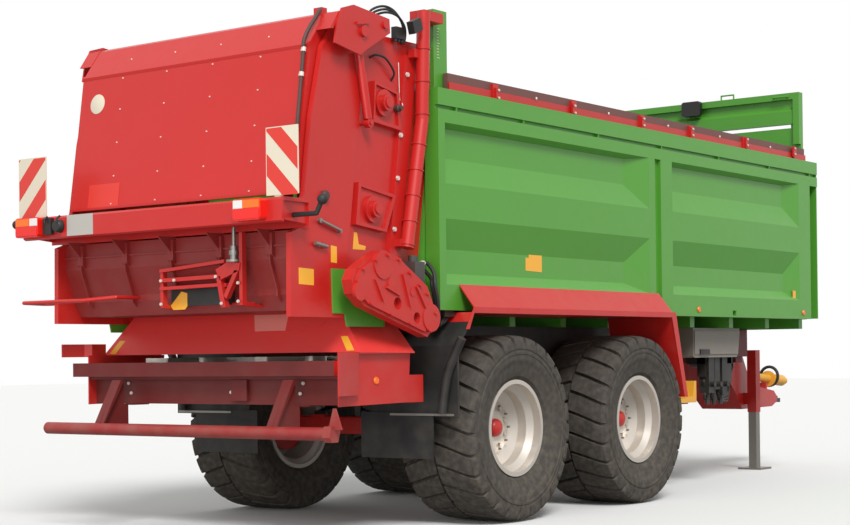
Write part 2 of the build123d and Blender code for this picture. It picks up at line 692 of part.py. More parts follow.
def make_beater(label, x, z, twist):
    with BuildPart() as beater:
        bar((x, -BEATER_HALF, z), (x, BEATER_HALF, z), BEATER_TUBE)
        bar((x, -PLATE_OUT - 95, z), (x, PLATE_OUT + 95, z), BEATER_SHAFT)
        for side in (-1, 1):
            bar((x, side * (BEATER_HALF - 10), z), (x, side * BEATER_HALF, z), BEATER_TIP - 90)
        pitch = (2 * BEATER_HALF - 140) / (BLADE_ROWS - 1)
        for row in range(BLADE_ROWS):
            y = -BEATER_HALF + 70 + row * pitch
            for turn in (0, 180):
                angle = twist * row * 37 + turn
                plane = Plane(origin=(x, y - BLADE / 2, z), z_dir=(0, 1, 0),
                              x_dir=(cos(radians(angle)), 0, sin(radians(angle))))
                with BuildSketch(plane):
                    with BuildLine():
                        Polyline([(60, -BLADE_WIDTH / 2), (BEATER_TIP - 40, -BLADE_WIDTH / 2),
                                  (BEATER_TIP - 8, 0), (BEATER_TIP - 40, BLADE_WIDTH / 2),
                                  (60, BLADE_WIDTH / 2)], close=True)
                    make_face()
                extrude(amount=BLADE)
    save(beater, label)


def make_disc(label, side, spin):
    y = side * DISC_Y
    with BuildPart() as disc:
        bar((DISC_X, y, DISC_Z), (DISC_X, y, DISC_Z + DISC_PLATE), DISC_RADIUS)
        bar((DISC_X, y, DISC_Z + DISC_PLATE - 1), (DISC_X, y, DISC_Z + VANE_HEIGHT + 10), 70)
        bar((DISC_X, y, DISC_Z - 8), (DISC_X, y, DISC_Z + 5), 45)
        for vane in range(VANES):
            angle = spin * (vane * 360 / VANES + 15)
            plane = Plane(origin=(DISC_X, y, DISC_Z + DISC_PLATE - 1), z_dir=(0, 0, 1),
                          x_dir=(cos(radians(angle)), sin(radians(angle)), 0))
            with BuildSketch(plane):
                with BuildLine():
                    Polyline([(60, -6), (DISC_RADIUS - 12, -6 - spin * 60),
                              (DISC_RADIUS - 12, 6 - spin * 60), (60, 6)], close=True)
                make_face()
            extrude(amount=VANE_HEIGHT)
    save(disc, label)


def make_disc_deck():
    """Housing of the discs: cheeks, hipped cover, drive tray and rear beam."""
    tray = (AXLE_X - 1820, AXLE_X - 960)
    cheek_in = CHEEK_OUT - 12
    with BuildPart() as deck:
        with BuildSketch(Plane.XY.offset(ROOF_FOOT - 0.5)) as low:
            with Locations((AXLE_X - 1410, 0)):
                Rectangle(580, 2 * ROOF_HALF)
        with BuildSketch(Plane.XY.offset(ROOF_TOP)) as high:
            with Locations((AXLE_X - 1365, 0)):
                Rectangle(490, 2 * ROOF_TOP_HALF)
        loft([low.sketch, high.sketch], ruled=True)
        with BuildSketch(Plane.XY.offset(ROOF_FOOT - 1)) as low:
            with Locations((AXLE_X - 1390, 0)):
                Rectangle(596, 2 * ROOF_HALF - 28)
        with BuildSketch(Plane.XY.offset(ROOF_TOP + 1)) as high:
            with Locations((AXLE_X - 1345, 0)):
                Rectangle(506, 2 * ROOF_TOP_HALF - 28)
        loft([low.sketch, high.sketch], ruled=True, mode=Mode.SUBTRACT)
        block(tray, (-cheek_in - 1, cheek_in + 1), (TRAY_BOTTOM, TRAY_BOTTOM + TRAY))
        block((AXLE_X - 1925, AXLE_X - 1880), (-cheek_in - 1, ROOF_HALF + 90), (1105, 1205))
        block((AXLE_X - 1881, tray[0] + 1), (-cheek_in - 1, cheek_in + 1), (1085, 1110))
        block((AXLE_X - 1850, tray[0] + 1), (-345, -200), (935, 1080))
        for side in (-1, 1):
            side_plate(back([(-1888, 1262), (-1890, 902), (-1148, 913), (-1120, 1262)]),
                       pair(side, cheek_in, CHEEK_OUT))
            block((AXLE_X - 1722, AXLE_X - 1120), pair(side, cheek_in, ROOF_HALF + 6),
                  (ROOF_FOOT - 12, ROOF_FOOT))
            side_plate([(RAIL_REAR - SEAT, 1270), (RAIL_REAR - SEAT, 1436), (AXLE_X - 1645, 1436),
                        (AXLE_X - 1655, 1390), (AXLE_X - 1000, 1390)], pair(side, RAIL_Y - 25, RAIL_Y + 25))
        block((AXLE_X - 1601, AXLE_X - 1120), (-ROOF_TOP_HALF + 1, -ROOF_TOP_HALF + 60),
              (ROOF_TOP - 12, ROOF_TOP))
        block((AXLE_X - 1601, AXLE_X - 1120), (ROOF_TOP_HALF - 60, ROOF_TOP_HALF - 1),
              (ROOF_TOP - 12, ROOF_TOP))
        flat_plate([(AXLE_X - 1722, -cheek_in), (AXLE_X - 1722, -ROOF_HALF), (AXLE_X - 2028, -1317),
                    (AXLE_X - 2028, -1305), (AXLE_X - 1888, -1262), (AXLE_X - 1880, -cheek_in)],
                   (975, ROOF_FOOT - 6))
        flat_plate([(AXLE_X - 1722, cheek_in), (AXLE_X - 1722, ROOF_HALF + 10), (AXLE_X - 2050, 1305),
                    (AXLE_X - 2050, 1293), (AXLE_X - 1888, 1240), (AXLE_X - 1860, cheek_in)],
                   (ROOF_FOOT - 12, ROOF_FOOT + 83))
    save(deck, "disc_deck")
    with BuildPart() as gears:
        for side in (-1, 1):
            y = side * DISC_Y
            bar((DISC_X, y, TRAY_BOTTOM + TRAY + SEAT), (DISC_X, y, DISC_Z - 8 - SEAT), 60)
    save(gears, "disc_gearboxes")


FLAP_OUTLINE = (            # outer face of the flap, top to bottom
    (-1790, 3515), (-1850, 3490), (-2010, 3270), (-2150, 2295),
)


def make_flap():
    """Curved door behind the beaters, folded at its top, and the arms that carry it."""
    outer = back(FLAP_OUTLINE)
    inner = [(x + FLAP_SKIN, z - 14) for x, z in reversed(outer)]
    inner[0] = (inner[0][0], outer[-1][1])
    with BuildPart() as flap:
        side_plate(outer + inner, (-FLAP_HALF, FLAP_HALF))
        side_plate(back([(-2140, 2312), (-2158, 2312), (-2158, 2295), (-2140, 2295)]),
                   (-FLAP_HALF, FLAP_HALF))
        side_plate(back([(-1988, 3292), (-2008, 3288), (-2018, 3274), (-2014, 3254), (-1995, 3256)]),
                   (-FLAP_HALF, FLAP_HALF))
    save(flap, "flap")
    arm = back([(-1909, 3280), (-1880, 3420), (-1828, 3520), (-1707, 3558), (-1325, 3520), (-1318, 3425),
                (-1554, 3291), (-1643, 3234)])
    with BuildPart() as arms:
        for side in (-1, 1):
            side_plate(arm, pair(side, ARM_IN, ARM_IN + ARM))
            side_plate(back([(-1850, 3495), (-1820, 3505), (-1905, 3375), (-1938, 3372)]),
                       pair(side, FLAP_HALF + SEAT, ARM_IN + 1))
            bar((PIVOT_X, side * (ARM_IN - 10), PIVOT_Z), (PIVOT_X, side * (ARM_IN + ARM + 10), PIVOT_Z),
                PIN + SEAT, mode=Mode.SUBTRACT)
            bar((ROD_EYE_X, side * (ARM_IN + ARM - 1), ROD_EYE_Z),
                (ROD_EYE_X, side * (ARM_IN + ARM + 22), ROD_EYE_Z), 38)
            side_plate(back([(-1690, 3430), (-1560, 3452), (-1560, 3470), (-1690, 3448)]),
                       pair(side, ARM_IN + ARM - 1, ARM_IN + ARM + 16))
    save(arms, "flap_arms")


def make_cylinder(name, side):
    foot = (BARREL_X, side * CYLINDER_Y, BARREL_Z)
    eye = (ROD_EYE_X, side * CYLINDER_Y, ROD_EYE_Z)
    with BuildPart() as barrel:
        bar(along(foot, eye, 0.05), along(foot, eye, 0.55), BARREL_RADIUS)
        bar(along(foot, eye, 0.54), along(foot, eye, 0.78), BARREL_RADIUS - 4)
        bar((BARREL_X, side * (CYLINDER_Y - 22), BARREL_Z), (BARREL_X, side * (CYLINDER_Y + 22), BARREL_Z), 32)
        bar((BARREL_X, side * (CYLINDER_Y - 30), BARREL_Z), (BARREL_X, side * (CYLINDER_Y + 40), BARREL_Z),
            FOOT_PIN + SEAT, mode=Mode.SUBTRACT)
        bar(along(foot, eye, 0.12), along(foot, eye, 0.85), ROD_RADIUS + SEAT, mode=Mode.SUBTRACT)
    save(barrel, f"cylinder_barrel_{name}")
    with BuildPart() as rod:
        bar(along(foot, eye, 0.14), along(foot, eye, 0.97), ROD_RADIUS)
        bar((ROD_EYE_X, side * (CYLINDER_Y - 20), ROD_EYE_Z), (ROD_EYE_X, side * (CYLINDER_Y + 20), ROD_EYE_Z), 34)
    save(rod, f"cylinder_rod_{name}")


def make_hood_wall():
    """Ribbed lower rear wall between the side plates."""
    wall = back([(-2190, 2050), (-2190, 1870), (-2120, 1680), (-2120, 1640), (-2060, ROOF_TOP + SEAT),
                 (-1600, ROOF_TOP + SEAT), (-1600, ROOF_TOP + 9), (-2050, ROOF_TOP + 9),
                 (-2105, 1645), (-2105, 1685), (-2172, 1870), (-2172, 2050)])
    half = PLATE_IN - SEAT
    with BuildPart() as hood:
        side_plate(wall, (-half, half))
        for y in HOOD_RIBS:
            side_plate(back([(-2172, 2059.7), (-2340, 2059.7), (-2225, 1960), (-2215, 1850), (-2150, 1670),
                             (-2150, 1630), (-2110, 1590), (-2106, 1640), (-2172, 1880)]), (y - 6, y + 6))
            side_plate(back([(-2190, 2040), (-2222, 2040), (-2222, 1900), (-2190, 1880)]),
                       (y - 26, y + 26))
        block((AXLE_X - 2205, AXLE_X - 2172), (-half, half), (1950, 1962))
    save(hood, "hood_wall")


def make_lamp_bar():
    web = AXLE_X - 2200
    with BuildPart() as beam:
        side_plate(back([(-2200, 2240), (-2440, 2240), (-2460, 2225), (-2460, 2090), (-2440, 2080),
                         (-2440, 2215), (-2200, 2215)]), (-LAMP_BAR_HALF, LAMP_BAR_HALF))
        block((web, web + 8), (-LAMP_BAR_HALF, LAMP_BAR_HALF), (2060, 2240))
        for side in (-1, 1):
            block((web + 7, AXLE_X - 2100), pair(side, BAND_OUT + SEAT, BAND_OUT + 12), (2060, 2230))
            side_plate(back([(-2441, 2218), (-2199, 2218), (-2199, 2080), (-2441, 2100)]),
                       pair(side, LAMP_BAR_HALF - 30, LAMP_BAR_HALF - 18))
        for y in (-770, -260, 260, 770):
            side_plate(back([(-2441, 2218), (-2199, 2218), (-2199, 2120), (-2441, 2190)]), (y - 5, y + 5))
    save(beam, "lamp_bar")


def make_rear_lamps():
    with BuildPart() as lamps:
        for low, high in LAMP_SPANS:
            block((REAR_X, AXLE_X - 2460 - SEAT), (low, high), (2098, 2236))
        fillet(lamps.edges().filter_by(Axis.X), 22)
    save(lamps, "rear_lamps")


def make_warning_boards():
    with BuildPart() as boards:
        for side, face, low, high in BOARD_SPANS:
            back_x = AXLE_X + face
            block((back_x, back_x + 6), (low, high), (2250, 2680))
            block((back_x + 5, back_x + 31), pair(side, 1150, 1200), (2240 + SEAT, 2640))
    save(boards, "warning_boards")


def make_marker_arms():
    with BuildPart() as arms:
        for side in (-1, 1):
            start = (AXLE_X - 2330, side * 1207.3, 2130)
            mid = (AXLE_X - 2330, side * 1400, 2130)
            end = (AXLE_X - 2330, side * 1450, 2215)
            bar(start, mid, 16)
            bar(mid, end, 16)
            with Locations(mid):
                Sphere(16)
            with Locations(end):
                Sphere(34)
    save(arms, "marker_arms")


def make_underride_guard():
    """Tube behind the wheels on two plates below the disc housing, with a lug at its end."""
    lug_y = (-GUARD_HALF, -GUARD_HALF + 62)
    leg_foot = GUARD_Z - 6
    with BuildPart() as guard:
        bar((GUARD_X, -GUARD_HALF + 40, GUARD_Z), (GUARD_X, GUARD_HALF - 14, GUARD_Z), GUARD_RADIUS)
        bar((GUARD_X, GUARD_HALF - 15, GUARD_Z), (GUARD_X, GUARD_HALF, GUARD_Z), GUARD_RADIUS - 10)
        side_plate([(GUARD_X + dx, GUARD_Z + dz) for dx, dz in GUARD_LUG], lug_y)
        cross_plate([(-GUARD_HALF - 60, GUARD_Z + 30), (-GUARD_HALF + 50, GUARD_Z + 30),
                     (-GUARD_HALF + 10, GUARD_Z + 165), (-GUARD_HALF - 10, GUARD_Z + 165)],
                    (GUARD_X - 6, GUARD_X + 6))
        for side in (-1, 1):
            side_plate([(GUARD_X - 20, leg_foot), (AXLE_X - 1853, leg_foot), (AXLE_X - 1853, TRAY_BOTTOM - 9),
                        (AXLE_X - 1700, TRAY_BOTTOM - 9), (AXLE_X - 1700, TRAY_BOTTOM - SEAT),
                        (AXLE_X - 1895, TRAY_BOTTOM - SEAT), (AXLE_X - 1895, 1080),
                        (AXLE_X - 1960, 1080)], pair(side, LEG_Y - 6, LEG_Y + 6))
            side_plate([(GUARD_X - 20, leg_foot - 5), (GUARD_X - 8, leg_foot - 5), (AXLE_X - 1925, 1081),
                        (AXLE_X - 1961, 1081)], pair(side, LEG_Y - 45, LEG_Y + 45))
            block((AXLE_X - 1854, AXLE_X - 1699), pair(side, LEG_Y - 60, LEG_Y + 60),
                  (TRAY_BOTTOM - 10, TRAY_BOTTOM - SEAT))
    save(guard, "underride_guard")



# ---------------------------------------------------------------- drives
CASE_IN = BAND_OUT + 112    # the gear case's inner face
CASE_OUTLINE = (
    (-1896, 1730), (-1856, 1800), (-1677, 1895), (-1590, 1931), (-1547, 1928), (-1400, 1895),
    (-1076, 1707), (-946, 1467), (-1083, 1359), (-1765, 1560), (-1800, 1587), (-1870, 1640),
)
CASE_BOSSES = (             # x, height, radius, how far it stands out
    (-1590, 1836, 95, 28), (-1503, 1710, 40, 30), (-1263, 1661, 30, 22), (-1060, 1490, 95, 26),
    (-1830, 1655, 62, 24),
)
CASE_RIBS = (
    ((-1677, 1737), (-1595, 1594)), ((-1560, 1690), (-1420, 1640)), ((-1380, 1780), (-1300, 1560)),
    ((-1230, 1700), (-1130, 1560)),
)
CASE_POCKETS = ((-1433, 1582, 42), (-1221, 1488, 38))


def make_drive_case():
    """Cast case of the floor drive, its feet, ribs and pockets, and the motor above it."""
    outline = back(CASE_OUTLINE)
    cx = sum(x for x, z in outline) / len(outline)
    cz = sum(z for x, z in outline) / len(outline)
    step = [(cx + (x - cx) * 0.9, cz + (z - cz) * 0.9) for x, z in outline]
    out = -CASE_IN - 85
    with BuildPart() as case:
        side_plate(outline, (out, -CASE_IN))
        side_plate(step, (out - 18, out + 1))
        for x, z, radius, rise in CASE_BOSSES:
            bar((AXLE_X + x, out + 1, z), (AXLE_X + x, out - rise, z), radius)
        for start, end in CASE_RIBS:
            run = Vector(end[0] - start[0], 0, end[1] - start[1])
            normal = Vector(-run.Z, 0, run.X).normalized() * 8
            side_plate(back([(start[0] + normal.X, start[1] + normal.Z), (end[0] + normal.X, end[1] + normal.Z),
                             (end[0] - normal.X, end[1] - normal.Z), (start[0] - normal.X, start[1] - normal.Z)]),
                       (out - 34, out - 17))
        for x, z, radius in CASE_POCKETS:
            bar((AXLE_X + x, out - 40, z), (AXLE_X + x, out + 22, z), radius, mode=Mode.SUBTRACT)
        block((AXLE_X - 1300, AXLE_X - 1140), (-CASE_IN - 1, -BAND_OUT - SEAT), (1540, 1700))
        block((AXLE_X - 1700, AXLE_X - 1560), (-CASE_IN - 1, -BAND_OUT - 12 - SEAT), (1640, 1790))
    save(case, "floor_drive_case")
    with BuildPart() as motor:
        block((AXLE_X - 1110, AXLE_X - 1000), (-BAND_OUT - 120, -BAND_OUT - SEAT), (1730, 1880))
        bar((AXLE_X - 1055, -BAND_OUT - 60, 1879), (AXLE_X - 1055, -BAND_OUT - 60, 1925), 34)
    save(motor, "floor_drive_motor")


def make_corner_plates():
    with BuildPart() as corners:
        for side in (-1, 1):
            side_plate(back([(-1870, 1810), (-1860, 1516), (-1740, 1516), (-1720, 1430), (-1320, 1430),
                             (-1320, 1810)]),
                       pair(side, BAND_OUT + SEAT, BAND_OUT + 12))
    save(corners, "corner_plates")


# ---------------------------------------------------------------- fenders
def make_fenders():
    sheet = 6
    top = 1530
    edge = FENDER_OUT - sheet
    with BuildPart() as fenders:
        for side in (-1, 1):
            side_plate(back([(-660, 1414), (-600, top), (2300, top), (2500, 855), (2506, 857),
                             (2304, top + sheet), (-604, top + sheet), (-666, 1416)]),
                       pair(side, FENDER_IN, FENDER_OUT))
            cross_plate([(side * (HALF + SEAT), 1735), (side * FENDER_OUT, 1572), (side * FENDER_OUT, top),
                         (side * edge, top), (side * edge, 1566), (side * (HALF + SEAT), 1723)],
                        (AXLE_X - 600, AXLE_X + 2300))
            side_plate(back([(2300, 1572), (2360, 1572), (2556, 855), (2500, 855), (2294, top)]),
                       pair(side, edge, FENDER_OUT))
            side_plate(back([(-600, 1572), (-600, top), (-664, 1414), (-700, 1414)]),
                       pair(side, edge, FENDER_OUT))
    save(fenders, "fenders")


def make_mudflaps():
    with BuildPart() as flaps:
        for side in (-1, 1):
            block((AXLE_X - 812, AXLE_X - 800), pair(side, 510, 1160), (500, 830))
            block((AXLE_X - 800.5, AXLE_X - 780), pair(side, 600, FENDER_OUT - 10), (800, 1300))
            side_plate(back([(-800, 1299), (-780, 1299), (-667, 1415.5), (-641, 1466),
                             (-646, 1468), (-672, 1418)]), pair(side, FENDER_IN, FENDER_OUT - 10))
    save(flaps, "mudflaps")


# ---------------------------------------------------------------- front
def make_drawbar():
    outline = back([(5330.3, 1455), (5330.3, 1130), (5900, 630), (6900, 630), (7080, 680),
                    (7080, 740), (6980, 800), (6200, 880), (5700, 1455)])
    tip = AXLE_X + 7080
    with BuildPart() as drawbar:
        side_plate(outline, (-260, 260))
        flat_plate([(RAIL_FRONT, -260), (AXLE_X + 5700, -260), (tip, -75), (tip, 75),
                    (AXLE_X + 5700, 260), (RAIL_FRONT, 260)], (600, 1500), mode=Mode.INTERSECT)
        block((RAIL_FRONT - 10, AXLE_X + 6250), (-105, 105), (880, 1500), mode=Mode.SUBTRACT)
        block((AXLE_X + 6880, AXLE_X + 6910), (-40, 40), (790, 891))
    save(drawbar, "drawbar")
    with BuildPart() as eye:
        bar((EYE_X, 0, EYE_Z - EYE_THICK / 2), (EYE_X, 0, EYE_Z + EYE_THICK / 2), EYE_RING)
        block((tip + SEAT, EYE_X - EYE_BORE), (-40, 40), (EYE_Z - EYE_THICK / 2, EYE_Z + EYE_THICK / 2))
        block((tip + SEAT, tip + 22), (-75, 75), (684, 738))
        bar((EYE_X, 0, EYE_Z - EYE_THICK), (EYE_X, 0, EYE_Z + EYE_THICK), EYE_BORE, mode=Mode.SUBTRACT)
    save(eye, "coupling_eye")


def drawbar_half(x):
    """Half the drawbar's width, ahead of where it starts to taper."""
    return 260 - (x - AXLE_X - 5700) * (260 - 75) / (7080 - 5700)


def make_drive_shaft():
    start = (AXLE_X + 5760, 0, SHAFT_TOP_Z + 40)
    end = (FRONT_X, 0, SHAFT_END_Z)
    with BuildPart() as shaft:
        bar(along(start, end, 0.10), along(start, end, 0.93), 44)
        bar(start, along(start, end, 0.12), 72)
        bar(along(start, end, 0.74), along(start, end, 0.755), 88)
        bar(along(start, end, 0.82), along(start, end, 0.95), 62)
        bar(along(start, end, 0.94), end, 36)
        bar(along(start, end, 0.96), along(start, end, 1.02), YOKE_BORE, mode=Mode.SUBTRACT)
    save(shaft, "drive_shaft")
    with BuildPart() as gearbox:
        block((RAIL_FRONT + SEAT, AXLE_X + 5750), (-95, 95), (880 + SEAT, 1120))
        bar(along(start, end, -0.02), along(start, end, -SEAT / (end[0] - start[0])), 40)
    save(gearbox, "input_gearbox")


def make_jack():
    x = JACK_X
    y = -JACK_Y
    half = JACK_TUBE
    with BuildPart() as tube:
        block((x - half, x + half), (y - half, y + half), (600, 1250))
        block((x - half + JACK_WALL, x + half - JACK_WALL), (y - half + JACK_WALL, y + half - JACK_WALL),
              (590, 1240), mode=Mode.SUBTRACT)
        flat_plate([(x - 40, y + half - 1), (x + 40, y + half - 1),
                    (x + 40, -drawbar_half(x + 40) - SEAT), (x - 40, -drawbar_half(x - 40) - SEAT)],
                   (680, 800))
    save(tube, "jack_tube")
    inner = half - JACK_WALL - SEAT
    with BuildPart() as leg:
        block((x - inner, x + inner), (y - inner, y + inner), (20, 860))
        block((x - 130, x + 130), (y - 130, y + 130), (0, 20))
    save(leg, "jack_leg")


def make_toolbox():
    rail = -RAIL_Y - RAIL_WIDTH / 2 - SEAT
    with BuildPart() as box:
        side_plate(back([(3360, 1455), (3360, 1200), (3390, 1185), (4230, 1185), (4260, 1220), (4290, 1455)]),
                   (-1010, -800))
        side_plate(back([(3372, 1430), (3372, 1215), (4235, 1215), (4272, 1430)]), (-1022, -1009))
        block((AXLE_X + 3480, AXLE_X + 3620), (-801, rail), (1290, 1400))
    save(box, "toolbox")
    with BuildPart() as tank:
        bar((AXLE_X + 4110, -785, 1285), (AXLE_X + 4110, -620, 1285), 195)
        bar((AXLE_X + 4110, -797, 1285), (AXLE_X + 4110, -784, 1285), 170)
        block((AXLE_X + 4060, AXLE_X + 4160), (-700, rail), (1200, 1400))
    save(tank, "air_tank")
    with BuildPart() as chock:
        side_plate(back([(3020, 780), (3410, 780), (3410, 975), (3370, 975), (3345, 835), (3020, 805)]),
                   (-1010, -860))
    save(chock, "wheel_chock")


RAIL_LINE = (
    (-2120.3, 420, 1660), (-2330, 420, 1660), (-2440, 640, 1640), (-2440, 1250, 1640),
    (-2190, 1330, 1640), (-2160, 1300, 1640), (-2160, BAND_OUT + SEAT, 1640),
)


def make_lever_frame():
    """Bracket with a crank spindle on the hood wall, and the bent rail beside it."""
    with BuildPart() as lever:
        for y in (-700, 30):
            side_plate(back([(-2236, 2050), (-2276, 2050), (-2276, 1575), (-2073.2, 1560), (-2082, 1575),
                             (-2236, 1600)]), (y - 14, y + 14))
        block((AXLE_X - 2280, AXLE_X - 2240), (-720, 50), (1900, 1940))
        block((AXLE_X - 2280, AXLE_X - 2262), (-300, 20), (1610, 1900))
        bar((AXLE_X - 2262, -625, 1850), (AXLE_X - 2262, -625, 2090), 15)
        bar((AXLE_X - 2262, -625, 1880), (AXLE_X - 2262, -625, 1960), 28)
    save(lever, "lever_frame")
    with BuildPart() as rail:
        points = RAIL_LINE
        for (x0, y0, z0), (x1, y1, z1) in zip(points, points[1:]):
            bar((AXLE_X + x0, y0, z0), (AXLE_X + x1, y1, z1), 14)
        with Locations([(AXLE_X + x, y, z) for x, y, z in points[1:-1]]):
            Sphere(14)
    save(rail, "grab_rail")


# ---------------------------------------------------------------- build
TYRE_SHAPE = make_tyre_shape()
for name, side in SIDES:
    make_tyre(f"tyre_rear_{name}", AXLE_X, side)
    make_tyre(f"tyre_front_{name}", AXLE_X + AXLE_SPACING, side)
    make_rim(f"rim_rear_{name}", AXLE_X, side)
    make_rim(f"rim_front_{name}", AXLE_X + AXLE_SPACING, side)
    make_wall(f"wall_{name}", side)
    make_spreader_side(f"spreader_side_{name}", side)
    make_disc(f"disc_{name}", side, side)
    make_cylinder(name, side)
make_axle("axle_rear", AXLE_X)
make_axle("axle_front", AXLE_X + AXLE_SPACING)
make_bogie()
make_chassis()
make_floor()
make_scraper()
make_front_wall()
make_work_lamp()
make_top_boards()
make_gate_posts()
make_gate()
make_guard_tubes()
make_beater("beater_upper", *UPPER, 1)
make_beater("beater_lower", *LOWER, -1)
make_disc_deck()
make_flap()
make_hood_wall()
make_lamp_bar()
make_rear_lamps()
make_warning_boards()
make_marker_arms()
make_underride_guard()
make_drive_case()
make_corner_plates()
make_fenders()
make_mudflaps()
make_drawbar()
make_drive_shaft()
make_jack()
make_toolbox()
make_lever_frame()
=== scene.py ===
"""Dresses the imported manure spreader: paint, treaded tyres, fasteners, signs, lamps and hoses."""

import json
from math import cos, pi, radians, sin

import bmesh
import bpy
from mathutils import Matrix, Vector
from mathutils.bvhtree import BVHTree


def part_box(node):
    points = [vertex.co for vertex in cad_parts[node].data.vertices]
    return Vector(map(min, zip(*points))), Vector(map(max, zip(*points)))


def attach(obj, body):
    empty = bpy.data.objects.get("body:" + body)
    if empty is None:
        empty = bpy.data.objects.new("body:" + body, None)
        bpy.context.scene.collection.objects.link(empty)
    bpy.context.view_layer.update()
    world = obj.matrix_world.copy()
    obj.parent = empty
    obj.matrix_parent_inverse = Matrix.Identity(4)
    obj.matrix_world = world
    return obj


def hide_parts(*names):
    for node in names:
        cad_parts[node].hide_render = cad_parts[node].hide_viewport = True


bl_info = {
    "name": "Manure Spreader Dressing",
    "version": (1, 0, 0),
    "blender": (4, 5, 0),
    "location": "3D View > Sidebar > Spreader",
    "description": "Paint, tyres, fasteners, signs and lamps for the packed manure spreader",
    "category": "Object",
}

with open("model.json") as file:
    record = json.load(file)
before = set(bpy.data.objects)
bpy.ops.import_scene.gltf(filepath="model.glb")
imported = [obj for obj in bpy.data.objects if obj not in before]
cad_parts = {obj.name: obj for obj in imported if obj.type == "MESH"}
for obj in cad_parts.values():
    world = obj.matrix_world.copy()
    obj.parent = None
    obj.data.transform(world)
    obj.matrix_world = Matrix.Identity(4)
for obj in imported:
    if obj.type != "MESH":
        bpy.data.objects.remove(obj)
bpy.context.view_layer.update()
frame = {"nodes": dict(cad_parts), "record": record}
NODES = frame["nodes"]


def middle(node):
    """The middle of a node's box."""
    low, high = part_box(node)
    return (low + high) / 2


AXLE_X = middle("tyre_rear_right").x        # the rear axle's place along the machine
SIDES = (("right", -1), ("left", 1))
WHEELS = tuple((end, name, side) for end in ("rear", "front") for name, side in SIDES)
WALL_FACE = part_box("wall_left")[1].y        # outer face of the box's side
POST_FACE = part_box("gate_posts")[0].y       # outer face of the gate's right post
CLEAR = 1.6                                 # beyond everything at the sides, where lines inwards start
WARNING_BOARDS = (                          # name, side, back face, y from, y to
    ("left", 1, -2.366, 1.086, 1.381), ("right", -1, -2.446, -1.355, -1.086),
)


def ahead(x, y, z):
    """A point given as metres ahead of the rear axle, across and above the ground."""
    return Vector((AXLE_X + x, y, z))


def across(x, outline):
    """The points of a (Y, Z) outline, x ahead of the rear axle."""
    return [ahead(x, y, z) for y, z in outline]


def along(y, outline):
    """The points of an (X, Z) outline, X ahead of the rear axle, at y across the machine."""
    return [ahead(x, y, z) for x, z in outline]


def tone(red, green, blue):
    """A linear colour from the 0 to 255 values of a colour chart."""
    return tuple(((c / 255 + 0.055) / 1.055) ** 2.4 for c in (red, green, blue))


# ---------------------------------------------------------------- settings
def length(name, default, description):
    return bpy.props.FloatProperty(name=name, description=description, default=default,
                                   min=0.0005, subtype="DISTANCE", unit="LENGTH")


def colour(name, default, description):
    return bpy.props.FloatVectorProperty(name=name, description=description, default=default,
                                         size=3, min=0, max=1, subtype="COLOR")


class SpreaderPaint(bpy.types.PropertyGroup):
    red: colour("Red", tone(194, 24, 20), "Gloss red of the spreader")
    # painted shade: this darker red stands for the shade on the hood wall and the underride guard's tube
    dark_red: colour("Shaded red", tone(146, 34, 33), "Satin red of the lower rear wall")
    # painted shadow: a dark red standing for the shadow on the beams, the housing's tray and the legs low
    # down
    painted_shadow_red: colour("Deep red", tone(104, 20, 18), "Dull red of the beams and legs low down")
    # painted sunlight: a lighter red standing for the sun on the disc housing's roof
    painted_sunlit_red: colour("Pale red", tone(226, 58, 54), "Sun-bleached red of the disc cover")
    green: colour("Green", tone(78, 152, 44), "Gloss green of the load box")
    silver: colour("Silver", tone(206, 198, 188), "Paint of the rims")
    rubber: colour("Rubber", tone(62, 57, 52), "Dusty tread rubber")
    board: colour("Board", tone(112, 70, 66), "Boards on the box's rim")
    yellow: colour("Yellow", tone(245, 176, 50), "Yellow plastic and stickers")
    black: colour("Black", tone(24, 24, 25), "Satin black metal and plastic")
    grey: colour("Grey", tone(140, 132, 125), "Grey plastic of the toolbox")
    steel: colour("Steel", tone(150, 146, 140), "Bare worn steel")
    lens: colour("Lens", tone(232, 26, 14), "Red lamp lens")
    amber: colour("Amber", tone(250, 112, 16), "Amber lens and reflectors")
    dust: colour("Dust", tone(150, 138, 120), "Dust that settles on everything")


class SpreaderWheels(bpy.types.PropertyGroup):
    lug_pairs: bpy.props.IntProperty(name="Lugs", description="Lugs on each half of the tread",
                                     default=26, min=8, max=40)
    lug_depth: length("Lug depth", 0.032, "Height of a lug over the tyre's base")
    lug_gap: length("Lug gap", 0.030, "Groove between two lugs, measured round the tyre")
    nut: length("Wheel nut", 0.016, "Half the width of a wheel nut")


class SpreaderTrim(bpy.types.PropertyGroup):
    rivet: length("Rivet", 0.0065, "Radius of a rivet head")
    bolt: length("Bolt", 0.019, "Half the width of a hexagon bolt head on the spreader's sides")
    hose: length("Hose", 0.014, "Radius of a hydraulic hose")


class SpreaderStage(bpy.types.PropertyGroup):
    floor: colour("Floor", (0.80, 0.80, 0.79), "Pale floor")
    sky: bpy.props.FloatProperty(name="Sky", description="Strength of the even light", default=0.55, min=0)
    rear: bpy.props.FloatProperty(name="Rear light", description="Power of the low light behind",
                                  default=150, min=0, unit="POWER")
    sun: bpy.props.FloatProperty(name="Sun", description="Strength of the soft main light",
                                 default=2.7, min=0)


# ---------------------------------------------------------------- nodes
def feed(node, inputs):
    """Give each named input of a node a value or another node's output."""
    for socket, value in inputs.items():
        if isinstance(value, bpy.types.NodeSocket):
            node.id_data.links.new(value, node.inputs[socket])
        else:
            node.inputs[socket].default_value = value
    return node


def add_node(tree, kind, inputs=None, **settings):
    """A new node with its settings and its inputs."""
    node = tree.nodes.new(kind)
    for name, value in settings.items():
        setattr(node, name, value)
    return feed(node, inputs or {})


def reckon(tree, operation, *values):
    """The output of a Math node on values or outputs."""
    return add_node(tree, "ShaderNodeMath", dict(enumerate(values)), operation=operation).outputs[0]


